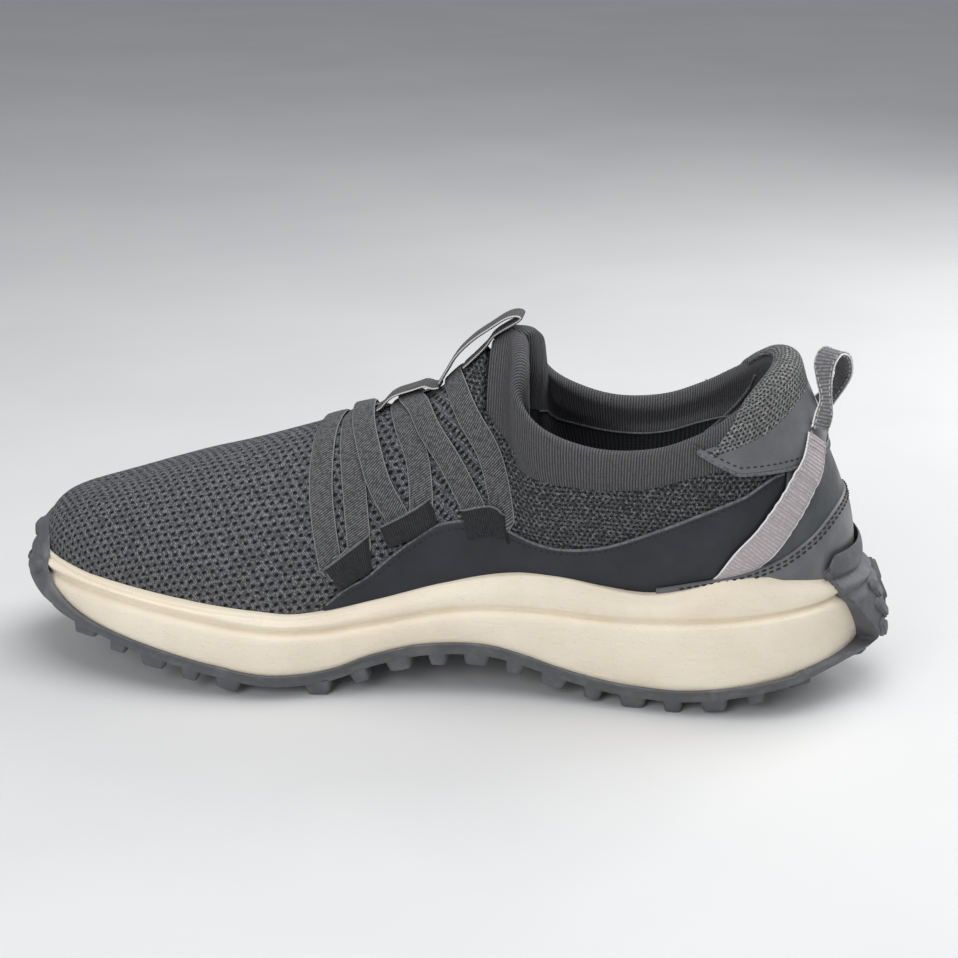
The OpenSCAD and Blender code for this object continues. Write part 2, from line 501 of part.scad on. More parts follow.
// Bands of the closed elastic loop from medial keeper to lateral keeper: [w, s] rows
function mirrored(rows) = [for (i = [len(rows) - 1:-1:0]) [rows[i][0], 2 - rows[i][1]]];
a_up = [[8.18, 0.29], [7.94, 0.55], [7.86, 0.8]];
b_up = [[8.72, 0.34], [8.62, 0.5], [8.42, 0.78]];
c_up = [[9.45, 0.43], [9.05, 0.57], [8.7, 0.8]];
d_up = [[9.98, 0.43], [9.86, 0.6], [9.5, 0.8]];
e_up = [[11.32, 0.38], [10.86, 0.5], [10.15, 0.7], [9.8, 0.86]];
f_up = [[12.32, 0.34], [11.86, 0.47], [11.2, 0.64], [10.8, 0.8]];
lace_runs = [
    concat(a_up, [[7.88, 1]], mirrored(a_up)), concat(b_up, [[8.4, 1]], mirrored(c_up)),
    concat(c_up, [[8.55, 1]], mirrored(b_up)), concat(d_up, [[9.35, 1]], mirrored(e_up)),
    concat(e_up, [[9.5, 1]], mirrored(d_up)), concat(f_up, [[10.55, 1]], mirrored(f_up))
];
// The third and fifth bands cross over their neighbours on the ridge
crosses_over = [0, 0, 1, 0, 1, 0];
lace_t = 1.1;
lace_rest = 0.6;
cross_lift = 1.6;
function run_at(rows, t) = let (n = len(rows) - 1, q = clamp(t, 0, 1) * n, i = min(floor(q), n - 1))
    blend4(rows[max(i - 1, 0)], rows[i], rows[i + 1], rows[min(i + 2, n)], q - i);
function lace_half(w) = lace_w / 2 / (row_at(w - 0.5)[2] - row_at(w + 0.5)[2]);
function lace_lift(s, k) = lace_rest + crosses_over[k] * cross_lift * smooth((min(s, 2 - s) - 0.44) / 0.16);
module lace_run(k) {
    n = 18;
    col = function (i, d) let (p = run_at(lace_runs[k], i / n), h = lace_half(p[0]))
        [for (t = [-1, 1]) over(p[0] + t * h, p[1], lace_lift(p[1], k) + d)];
    shell([for (i = [0:n]) col(i, lace_t)], [for (i = [0:n]) col(i, 0)]);
}
// Turn of the lace inside a keeper, between the ends of two bands and above the saddle's edge
module lace_turn(a, b, lateral) {
    col = function (t, d) let (p = lerp(a, b, t)) [for (q = [-0.07, -0.035])
        over(p[0], lateral ? 2 - p[1] - q : p[1] + q, d)];
    ts = lateral ? [1, 0.5, 0] : [0, 0.5, 1];
    shell([for (t = ts) col(t, 1.5)], [for (t = ts) col(t, 1.9)]);
}
module elastic_lace() {
    color([0.25, 0.25, 0.27]) {
        for (k = [0:5]) lace_run(k);
        for (lateral = [false, true]) {
            lace_turn(a_up[0], b_up[0], lateral);
            lace_turn(c_up[0], d_up[0], lateral);
            lace_turn(e_up[0], f_up[0], lateral);
        }
    }
}
// Tabs over the turns of the lace: [w ahead, w behind, share of the top]
keepers = [[8.05, 8.85, 0.37], [9.3, 10.12, 0.47], [11.25, 12.35, 0.4]];
module lace_keepers(side) {
    color([0.18, 0.18, 0.2]) for (k = keepers) {
        ws = steps(side > 0 ? k[0] : turns - k[1], side > 0 ? k[1] : turns - k[0], 2);
        patch(ws, function (w) saddle_v(w) + 0.015, function (w) k[2], flat_d(2.1), flat_d(2.9), n = 3);
    }
}
module lace_keepers_medial() { lace_keepers(1); }
module lace_keepers_lateral() { lace_keepers(-1); }

outsole_forefoot();
outsole_heel();
midsole_forefoot();
midsole_heel();
strobel_board_forefoot();
strobel_board_heel();
footbed_forefoot();
footbed_heel();
toe_box_knit();
vamp_flex_zone();
quarter_knit();
toe_lining();
quarter_lining();
toe_puff();
heel_counter();
collar_padding();
collar_band();
saddle_medial();
saddle_lateral();
heel_panel();
heel_foxing();
heel_collar_patch();
vamp_strip();
front_pull_tab();
elastic_lace();
lace_keepers_medial();
lace_keepers_lateral();
heel_strap_medial();
heel_strap_lateral();
heel_pull_loop();
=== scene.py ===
"""Slip-on golf shoe: the visible meshes, materials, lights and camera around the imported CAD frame.

Lengths below are millimetres in the frame of the CAD model (+X toe, +Y medial, +Z up) and become
metres when a mesh is made. w runs round the upper from the toe tip (0) along the medial side to the
heel (23) and back along the lateral side to the toe (46). v runs up a section from foot to ridge or
collar edge, and d is a distance out from the upper's outer face.
"""
import math

import bpy
import numpy as np
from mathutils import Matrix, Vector


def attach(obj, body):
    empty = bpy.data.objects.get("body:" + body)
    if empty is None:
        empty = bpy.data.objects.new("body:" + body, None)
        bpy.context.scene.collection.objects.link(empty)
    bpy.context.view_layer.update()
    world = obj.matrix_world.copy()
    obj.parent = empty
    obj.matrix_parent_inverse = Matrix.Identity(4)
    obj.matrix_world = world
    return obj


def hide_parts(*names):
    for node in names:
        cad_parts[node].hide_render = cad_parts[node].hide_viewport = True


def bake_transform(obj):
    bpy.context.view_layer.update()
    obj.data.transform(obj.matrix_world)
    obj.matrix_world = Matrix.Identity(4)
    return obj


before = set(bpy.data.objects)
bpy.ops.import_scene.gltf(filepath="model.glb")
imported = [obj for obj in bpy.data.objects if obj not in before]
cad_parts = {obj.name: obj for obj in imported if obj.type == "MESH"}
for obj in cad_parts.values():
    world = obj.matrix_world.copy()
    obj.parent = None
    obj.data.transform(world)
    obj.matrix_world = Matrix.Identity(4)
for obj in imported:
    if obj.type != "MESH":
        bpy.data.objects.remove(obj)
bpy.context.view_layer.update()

MM = 0.001
# Thicknesses of the layers and sizes of the trim
KNIT_T = 1.6
LINING_T = 1.2
OVERLAY_T = 1.1
SHEET_T = 2.0
LUG_H = 4.5
# Gap that keeps bonded pieces apart
BOND = 0.1
FOOTBED_T = 4.5
BASE_Z = LUG_H + SHEET_T + BOND
LACE_W = 8.0
STRAP_W = 11.0
LUG_PITCH = 13.5
# Places along the upper where the foot opening and the collar band begin, and the seam between knit and band
THROAT = 12
BAND_FROM = 11.5
SEAM = 0.002
# Share of the collar band's height at which its roll starts
ROLL_FROM = 0.7
# Width of the round along an overlay's edge
EDGE_ROUND = 0.6
# Where the overlays start, as w on the medial side
SADDLE_FROM = 8.05
SADDLE_END = 20.55
PANEL_FROM = 20.65
FOXING_FROM = 17.3
PATCH_FROM = 18.1
LEAF_FROM = 18.2
# Ends of the stretches where the rubber climbs, as distance along
TOE_RUBBER = 4
HEEL_RUBBER = 20.2
# Half of the stage floor's side, in metres
FLOOR_HALF = 3.0

# ---- lines along the length, [x, z], the same as in the CAD model ----
RIM = [[148, 42], [136, 40], [120, 37], [84, 32.5], [57, 30], [44, 29], [22, 33], [-5, 39.7],
       [-25, 43.5], [-42, 44.3], [-58, 42], [-71, 41], [-82, 43.3], [-97, 48.3], [-112, 49.3],
       [-126, 46.5], [-140, 44.5]]
GROOVE = [[148, 35.5], [120, 33.6], [88, 29.6], [57, 25], [42, 24], [28, 25.3], [-10, 31.5],
          [-42, 32.2], [-58, 31.7], [-90, 34], [-121, 37.8], [-140, 41.5]]
EDGE_RISE = [[148, 27.4], [141, 21.4], [133, 16.9], [120, 13.9], [97, 8.4], [70, 2.6], [56, 0],
             [42, 0], [32, 1.9], [22, 5.7], [6, 9.4], [-14, 10.4], [-26, 8.4], [-42, 4], [-58, 0.9],
             [-70, 0], [-84, 0], [-100, 2.1], [-117, 5.8], [-132, 11], [-140, 14.5]]
FLOOR = [[148, 30], [120, 25.5], [90, 22.5], [55, 21.5], [20, 22.5], [-20, 26], [-60, 29], [-140, 31]]
WALL = [[148, 6], [124, 7.5], [91, 9.5], [55, 8.3], [5, 8.5], [-28, 9.8], [-56, 11], [-95, 12],
        [-140, 11]]
SADDLE_TOP = [[38, 31], [30, 37], [23, 41], [16, 47], [10, 52], [0, 58.5], [-10, 60.5], [-21, 59],
              [-30, 56], [-42, 55], [-56, 57], [-71, 63], [-88, 71], [-103, 77], [-115, 83], [-140, 84]]
FOXING_TOP = [[-71, 43], [-88, 47], [-102, 50.5], [-114, 55.5], [-123, 62], [-132, 70]]
# Lower edge of the collar band and upper edge of the heel patch, [distance along, z]
BAND_LOW = [[23, 87], [21, 86.5], [19, 86], [18, 83], [17, 78.5], [16, 77], [15, 78.8], [14, 81.7],
            [13, 85], [12, 90], [11.5, 97]]
PATCH_TOP = [[23, 108], [22, 107], [21, 104], [20, 99], [19, 95], [18.1, 92]]
# [plan angle, bottom x, medial y, lateral y, top x, medial y, lateral y, top z, bulge, handle, collar]
STATIONS = [
    [0, 142, 8, 8, 122, 5, 5, 59.3, 7, 0.8, 0],
    [26, 140, 17.5, -1.5, 120.5, 4.8, 4.8, 59.8, 7, 0.76, 0],
    [48, 134, 26, -11.5, 116, 4.5, 4.5, 61.2, 6.5, 0.68, 0],
    [64, 124, 32.5, -21.5, 109, 4, 4, 63.6, 6, 0.58, 0],
    [77, 109, 37.5, -31.5, 99, 3.5, 3.5, 67.2, 5.5, 0.5, 0],
    [86, 91, 40.5, -38.5, 86, 3, 3, 71.6, 5, 0.45, 0],
    [90, 73, 42, -42, 72, 3, 3, 75.6, 5, 0.42, 0],
    [90, 55, 41.5, -43, 55, 3, 3, 81, 5, 0.4, 0],
    [90, 38, 37, -42, 38, 3, 3, 86.6, 5, 0.38, 0],
    [90, 21, 32.5, -38, 21, 3, 3, 91.6, 5, 0.36, 0],
    [90, 5, 29, -34, 5, 3, 3, 97.8, 5, 0.34, 0],
    [90, -8, 27, -31, -8, 3, 3, 109.5, 5, 0.32, 0.05],
    [90, -19, 25.8, -29, -21, 3, 3, 121.5, 5, 0.3, 0.15],
    [90, -28, 25.2, -28, -24.5, 17, -13, 117.5, 5, 0.3, 0.5],
    [90, -36, 25.2, -27.5, -26, 26.5, -24.5, 107.5, 5.5, 0.3, 0.8],
    [90, -45, 25.5, -27.2, -34.5, 30.5, -30, 96.5, 6, 0.32, 1],
    [90, -56, 26, -27, -52, 31.6, -31.6, 90.3, 6, 0.33, 1],
    [90, -70, 27, -27, -70, 32.4, -32.4, 91, 6, 0.34, 1],
    [90, -84, 27.6, -27, -84, 32.4, -32.4, 96, 6.5, 0.34, 1],
    [98, -99, 26.6, -26, -94.5, 30.6, -30.6, 102, 7.5, 0.34, 1],
    [112, -113, 23, -22.6, -103.5, 26, -26, 108, 9.5, 0.34, 1],
    [134, -124, 16.5, -16.5, -109.5, 18.6, -18.6, 112.5, 11.5, 0.34, 1],
    [157, -130, 8.6, -8.6, -113.2, 9.8, -9.8, 114.8, 12.7, 0.34, 1],
    [180, -132, 0, 0, -114.3, 0, 0, 115.5, 13, 0.34, 1],
]
LAST = len(STATIONS) - 1
TURNS = 2 * LAST


# ---- curves and sections, on arrays ----
def lerp(a, b, t):
    return a + (b - a) * t


def smooth(t):
    t = np.clip(t, 0, 1)
    return t * t * (3 - 2 * t)


def blend4(a, b, c, d, t):
    return 0.5 * (2 * b + (c - a) * t + (2 * a - 5 * b + 4 * c - d) * t**2
                  + (3 * b - a - 3 * c + d) * t**3)


def knot(table, x):
    """Smooth curve through [x, value] knots whose x falls along the list."""
    xs, ys = np.array(table, float).T
    n = len(xs) - 1
    x = np.asarray(x, float)
    i = np.clip(np.searchsorted(-xs[1:], -x, side="right"), 0, n - 1)
    t = np.clip((x - xs[i]) / (xs[i + 1] - xs[i]), 0, 1)
    return blend4(ys[np.maximum(i - 1, 0)], ys[i], ys[i + 1], ys[np.minimum(i + 2, n)], t)


def loop_row(k):
    side = 1 if k <= LAST else -1
    s = STATIONS[k if k <= LAST else TURNS - k]
    a = math.radians(s[0])
    bottom_y, top_y = (s[2], s[5]) if side > 0 else (s[3], s[6])
    return [math.cos(a), side * math.sin(a), s[1], bottom_y, float(knot(FLOOR, s[1])),
            s[4], top_y, s[7], s[8], s[9], s[10]]


ROWS = np.array([loop_row(k) for k in range(TURNS)])


def row_at(w):
    q = np.mod(w, TURNS)
    i = np.floor(q).astype(int) % TURNS
    return blend4(ROWS[i - 1], ROWS[i], ROWS[(i + 1) % TURNS], ROWS[(i + 2) % TURNS],
                  (q - np.floor(q))[..., None])


def section(w):
    """Outward direction, foot, lower handle, upper handle and top of the sections at w."""
    r = row_at(np.asarray(w, float))
    n = np.stack([r[..., 0], r[..., 1], 0 * r[..., 0]], -1)
    n = n / np.linalg.norm(n, axis=-1, keepdims=True)
    foot, top = r[..., 2:5], r[..., 5:8]
    up = np.array([0, 0, 1.0])
    rise = (top - foot)[..., 2:3]
    reach = np.maximum(np.sum((foot - top) * n, -1, keepdims=True), 0)
    over = top + n * 0.66 * reach
    collar = top - up * 0.36 * rise + n * 0.1 * rise
    low = foot + n * r[..., 8:9] + up * r[..., 9:10] * rise
    return n, foot, low, lerp(over, collar, np.clip(r[..., 10:11], 0, 1)), top


def bez(s, v):
    u = 1 - v
    return u**3 * s[1] + 3 * u * u * v * s[2] + 3 * u * v * v * s[3] + v**3 * s[4]


def bez_d(s, v):
    u = 1 - v
    return 3 * u * u * (s[2] - s[1]) + 6 * u * v * (s[3] - s[2]) + 3 * v * v * (s[4] - s[3])


def face(w, v):
    """Points and outward directions of the upper's outer face."""
    w, v = np.broadcast_arrays(np.asarray(w, float), np.asarray(v, float))
    s, beside = section(w), section(w + 0.02)
    v = v[..., None]
    p = bez(s, v)
    out = np.cross(bez(beside, v) - p, bez_d(s, v))
    size = np.linalg.norm(out, axis=-1, keepdims=True)
    return p, np.where(size < 1e-9, s[0], out / np.maximum(size, 1e-9))


def surf(w, v, d=0.0):
    p, out = face(w, v)
    return p + np.asarray(d, float)[..., None] * out


def over_face(w, s):
    """As face, with s running over the ridge: 0 medial foot, 1 ridge, 2 lateral foot."""
    return face(np.where(s <= 1, w, TURNS - w), np.where(s <= 1, s, 2 - s))


def v_of(w, z):
    """v where the sections at w reach the height z."""
    s = section(w)
    a, b = np.zeros(np.shape(w)), np.ones(np.shape(w))
    for _ in range(18):
        m = (a + b) / 2
        low = bez(s, m[..., None])[..., 2] < z
        a, b = np.where(low, m, a), np.where(low, b, m)
    return (a + b) / 2


def along(w):
    return np.minimum(np.abs(w), TURNS - np.abs(w))


def foot_x(w):
    return row_at(w)[..., 2]


def w_at(x):
    """w where the medial foot line reaches x."""
    a, b = 0.0, float(LAST)
    for _ in range(24):
        m = (a + b) / 2
        a, b = (m, b) if foot_x(np.array(m)) > x else (a, m)
    return (a + b) / 2


def band_v(w):
    return v_of(w, knot(BAND_LOW, along(w)))


def pad_share(w, u):
    return smooth((along(w) - 15) / 2) * smooth((u - 0.5) / 0.25)


def lining_out(w, u):
    """How deep the lining lies inside the upper, past its stiffeners and the heel padding."""
    stiff = np.maximum(1 - smooth((along(w) - 3) / 2), smooth((along(w) - 15) / 2))
    return KNIT_T + 0.2 + 1.6 * stiff + 4 * pad_share(w, u)


def face_off(w, z):
    """How far the upper's face stands outside the foot line at height z."""
    s = section(w)
    p = bez(s, v_of(w, z)[..., None])
    return np.sum((p - s[1]) * s[0], -1)


def edge_z(x):
    return knot(EDGE_RISE, x) + BASE_Z


def spine(w):
    """Middle line of the sole that the columns of the sole start from, [x, y]."""
    r, q, a = row_at(w), row_at(TURNS - w), along(w)
    middle = smooth((a - THROAT) / 0.5) * (1 - smooth((a - 18.5) / 0.5))
    return np.stack([lerp(r[..., 5], r[..., 2], middle), (r[..., 3] + q[..., 3]) / 2], -1)


def at_off(w, off, z):
    """Points at distance off outside the foot line, at height z."""
    s = section(w)
    p = s[1] + s[0] * np.asarray(off, float)[..., None]
    p[..., 2] = z
    return p


def curve(points, n):
    """Catmull-Rom curve through the rows of points, n steps a span, last axis is the coordinate."""
    p = np.concatenate([points[:1], points, points[-1:]])
    t = np.linspace(0, 1, n, endpoint=False).reshape((-1,) + (1,) * (points.ndim - 1))
    spans = [blend4(p[i], p[i + 1], p[i + 2], p[i + 3], t) for i in range(len(points) - 1)]
    return np.concatenate(spans + [points[-1:]])


def resample(points, step):
    """Points at even distances along a polyline."""
    s = np.concatenate([[0], np.cumsum(np.linalg.norm(np.diff(points[:, :3], axis=0), axis=1))])
    t = np.linspace(0, s[-1], max(int(round(s[-1] / step)), 2) + 1)
    return np.stack([np.interp(t, s, column) for column in points.T], 1)


# ---- meshes ----
def make(name, verts, faces, uvs, slot, material, body, replaces=(), sharp=50, second=None):
    """One mesh piece in metres. uvs holds a (u, v) in millimetres for each face corner.

    A piece without a body has its transform baked into its vertices. second is another material and a test
    that says at which face middles, in millimetres, it is used.
    """
    used, index = np.unique([i for f in faces for i in f], return_inverse=True)
    mesh = bpy.data.meshes.new(name)
    loops, at = [], 0
    for f in faces:
        loops.append(index[at:at + len(f)].tolist())
        at += len(f)
    mesh.from_pydata((np.asarray(verts)[used] * MM).tolist(), [], loops)
    layer = mesh.uv_layers.new(name="weave")
    layer.data.foreach_set("uv", np.asarray([c for f in uvs for c in f], np.float32).ravel())
    mesh.polygons.foreach_set("use_smooth", [True] * len(mesh.polygons))
    mesh.set_sharp_from_angle(angle=math.radians(sharp))
    mesh.materials.append(material)
    if second:
        mesh.materials.append(second[0])
        middles = np.array([p.center for p in mesh.polygons]) / MM
        mesh.polygons.foreach_set("material_index", second[1](middles).astype(np.int32))
    piece = bpy.data.objects.new(name, mesh)
    bpy.context.scene.collection.objects.link(piece)
    if body is None:
        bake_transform(piece)
    else:
        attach(piece, body)
    if replaces:
        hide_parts(*replaces)
    return piece


class Build:
    """Collects grids and rings into one list of vertices, faces and face-corner coordinates."""

    def __init__(self):
        self.verts, self.faces, self.uvs, self.count = [], [], [], 0

    def points(self, grid):
        start = self.count
        flat = np.asarray(grid, float).reshape(-1, 3)
        self.verts.append(flat)
        self.count += len(flat)
        return start

    def face(self, ids, uv):
        keep = [k for k in range(len(ids)) if ids[k] != ids[k - 1]]
        if len(keep) > 2:
            self.faces.append([ids[k] for k in keep])
            self.uvs.append([uv[k] for k in keep])

    def shell(self, outer, inner, uv, wrap=False, fold=None, low_fold=False):
        """Closed shell between two grids. A folded column shares its last point with its mirror."""
        ni, nj = outer.shape[:2]
        base = [self.points(outer), self.points(inner)]
        fold = np.zeros(ni, bool) if fold is None else fold

        def vid(k, i, j):
            i = 0 if wrap and i == ni - 1 else i
            if (j == nj - 1 and fold[i]) or (j == 0 and low_fold):
                i = min(i, ni - 1 - i)
            return base[k] + i * nj + j

        def quad(*corners):
            self.face([vid(*c) for c in corners], [uv[c[1], c[2]] for c in corners])

        for i in range(ni - 1):
            for j in range(nj - 1):
                quad((0, i, j), (0, i + 1, j), (0, i + 1, j + 1), (0, i, j + 1))
                quad((1, i, j), (1, i, j + 1), (1, i + 1, j + 1), (1, i + 1, j))
            if not low_fold:
                quad((0, i, 0), (1, i, 0), (1, i + 1, 0), (0, i + 1, 0))
            if not (fold[i] and fold[i + 1]):
                e = nj - 1
                quad((0, i, e), (0, i + 1, e), (1, i + 1, e), (1, i, e))
        if not wrap:
            e = ni - 1
            for j in range(nj - 1):
                quad((0, 0, j), (0, 0, j + 1), (1, 0, j + 1), (1, 0, j))
                quad((0, e, j), (1, e, j), (1, e, j + 1), (0, e, j + 1))
        return self

    def rings(self, grid, uv, closed=False):
        """Tube through closed rings of points, grid[station, place round the ring]."""
        ni, nj = grid.shape[:2]
        base = self.points(grid)
        for i in range(ni if closed else ni - 1):
            for j in range(nj):
                a, b, c, d = (i, j), ((i + 1) % ni, j), ((i + 1) % ni, (j + 1) % nj), (i, (j + 1) % nj)
                corner = [uv[i, j], uv[i + 1, j], uv[i + 1, j + 1], uv[i, j + 1]]
                self.face([base + p * nj + q for p, q in (a, b, c, d)], corner)
        if not closed:
            self.face([base + j for j in range(nj)], [uv[0, j] for j in range(nj)])
            last = base + (ni - 1) * nj
            self.face([last + j for j in reversed(range(nj))], [uv[-1, j] for j in reversed(range(nj))])
        return self

    def done(self, name, slot, material, body="rearfoot", **how):
        verts = np.concatenate(self.verts)
        volume = sum(np.dot(verts[f[0]], np.cross(verts[f[k]], verts[f[k + 1]]))
                     for f in self.faces for k in range(1, len(f) - 1))
        if volume < 0:
            self.faces = [f[::-1] for f in self.faces]
            self.uvs = [u[::-1] for u in self.uvs]
        return make(name, verts, self.faces, self.uvs, slot, material, body, **how)


def lengths(grid, axis):
    """Running length along one axis of a grid of points."""
    step = np.linalg.norm(np.diff(grid, axis=axis), axis=-1)
    pad = np.zeros_like(np.take(step, [0], axis))
    return np.concatenate([pad, np.cumsum(step, axis)], axis)


def mapped(grid):
    """Coordinates of a patch in millimetres: along it at mid height, and up it at each column."""
    u = lengths(grid, 0)[:, grid.shape[1] // 2][:, None]
    return np.stack(np.broadcast_arrays(u, lengths(grid, 1)), -1)


def soft_edges(n, rim, size):
    """n + 1 shares from 0 to 1 with extra ones near both ends, and the thickness share at each."""
    e = rim / size
    t = np.concatenate([[0, 0.35 * e, e], np.linspace(0, 1, n + 1)[1:-1], [1 - e, 1 - 0.35 * e, 1]])
    t.sort()
    near = np.minimum(t, 1 - t) / e
    return t, np.sqrt(np.clip(1 - (1 - np.clip(near, 0, 1)) ** 2, 0.04, 1))


def columns(a, b, step=0.125):
    """w values from a to b with soft ends, and the thickness share at each."""
    t, thick = soft_edges(int(round((b - a) / step)), 0.03, b - a)
    return lerp(a, b, t), thick


def patch(ws, w_thick, lo, hi, d0, n, size, swell=None, skew=None):
    """Overlay sheet on the upper: columns ws from share lo(w) to hi(w), its lower face at d0.

    n is its number of rows and size its height, for the round of its edges. swell adds to the
    thickness, and skew moves the columns, at a w and a share of the height.
    """
    t, t_thick = soft_edges(n, EDGE_ROUND, size)
    w = ws[:, None] + (0 if skew is None else skew(ws[:, None], t[None]))
    v = lerp(lo(w), hi(w), t[None])
    rise = d0 + OVERLAY_T * np.minimum(w_thick[:, None], t_thick[None])
    if swell is not None:
        rise = rise + swell(w + 0 * v, t[None] + 0 * w)
    outer, inner = surf(w + 0 * v, v, rise), surf(w + 0 * v, v, d0 + 0 * rise)
    return Build().shell(outer, inner, mapped(outer))


def frames(points, normals, closed=False):
    """Side and normal directions along a line of points."""
    ahead = np.roll(points, -1, 0) - np.roll(points, 1, 0)
    if not closed:
        ahead[0], ahead[-1] = points[1] - points[0], points[-1] - points[-2]
    ahead /= np.linalg.norm(ahead, axis=1, keepdims=True)
    side = np.cross(normals, ahead)
    side /= np.linalg.norm(side, axis=1, keepdims=True)
    return ahead, side, np.cross(ahead, side)


def band(build, points, normals, width, thick, crown=0.25, closed=False, steps=8, lift=None):
    """Flat ribbon with round edges along points, its lower face on them. lift(grid) moves it out."""
    _, side, up = frames(points, normals, closed)
    across = np.linspace(-1, 1, steps + 1)
    edge = np.sqrt(np.clip(1 - np.abs(across) ** 14, 0, 1))
    top = np.stack([across, 0.5 + 0.5 * edge + crown * (1 - across**2)], 1)
    low = np.stack([across[::-1], 0.5 - 0.5 * edge[::-1]], 1)
    ring = np.concatenate([top, low[1:-1]])
    half = np.broadcast_to(np.asarray(width, float) / 2, len(points))
    grid = (points[:, None] + side[:, None] * ring[None, :, :1] * half[:, None, None]
            + up[:, None] * ring[None, :, 1:] * thick)
    if lift is not None:
        grid = grid + up[:, None] * lift(grid)[..., None]
    count = len(points) + (1 if closed else 0)
    run = lengths(points[:, None], 0)[:, 0]
    if closed:
        run = np.append(run, run[-1] + np.linalg.norm(points[0] - points[-1]))
    round_ring = np.append(ring[:, 0], ring[0, 0])
    uv = np.stack(np.broadcast_arrays(run[:count, None], round_ring[None] * np.max(half)), -1)
    return build.rings(grid, uv, closed)


def cord_line(build, points, radius, sides=6):
    """Thin round cord or ridge along points."""
    nearly_up = np.tile([0.03, 0.02, 1.0], (len(points), 1))
    _, side, up = frames(points, nearly_up)
    a = np.linspace(0, 2 * math.pi, sides, endpoint=False)
    radius = np.broadcast_to(radius, len(points))[:, None, None]
    grid = points[:, None] + radius * (side[:, None] * np.cos(a)[None, :, None]
                                       + up[:, None] * np.sin(a)[None, :, None])
    uv = np.stack(np.broadcast_arrays(lengths(points[:, None], 0), np.linspace(0, 1, sides + 1)[None]), -1)
    return build.rings(grid, uv)


def stitches(build, points, normals, pitch=2.6, length=2.0, radius=0.32):
    """Row of thread stitches along a line on a surface."""
    line = resample(np.concatenate([points, normals], 1), pitch)
    p, n = line[:, :3], line[:, 3:]
    ahead, side, up = frames(p, n)
    a = np.linspace(0, 2 * math.pi, 6, endpoint=False)
    shares = np.array([-1, -0.72, 0, 0.72, 1])
    girth = np.array([0.35, 0.85, 1, 0.85, 0.35]) * radius
    sink = np.array([-0.25, -0.05, 0.1, -0.05, -0.25])
    for c, t, s, u in zip(p, ahead, side, up):
        grid = (c + t * (shares * length / 2)[:, None, None] + u * sink[:, None, None]
                + girth[:, None, None] * (s * np.cos(a)[None, :, None] + u * np.sin(a)[None, :, None]))
        build.rings(grid, np.zeros((6, 7, 2)))
    return build


def on_face(w, v, d):
    """Points at offset d and outward directions for a line of w and v values."""
    p, n = face(w, v)
    return p + n * np.asarray(d, float).reshape(-1, 1), n


# ---- materials ----
def tone(r, g, b):
    """Linear colour of an sRGB triple from 0 to 255."""
    lin = [c / 255 / 12.92 if c <= 10.3 else ((c / 255 + 0.055) / 1.055) ** 2.4 for c in (r, g, b)]
    return (*lin, 1.0)


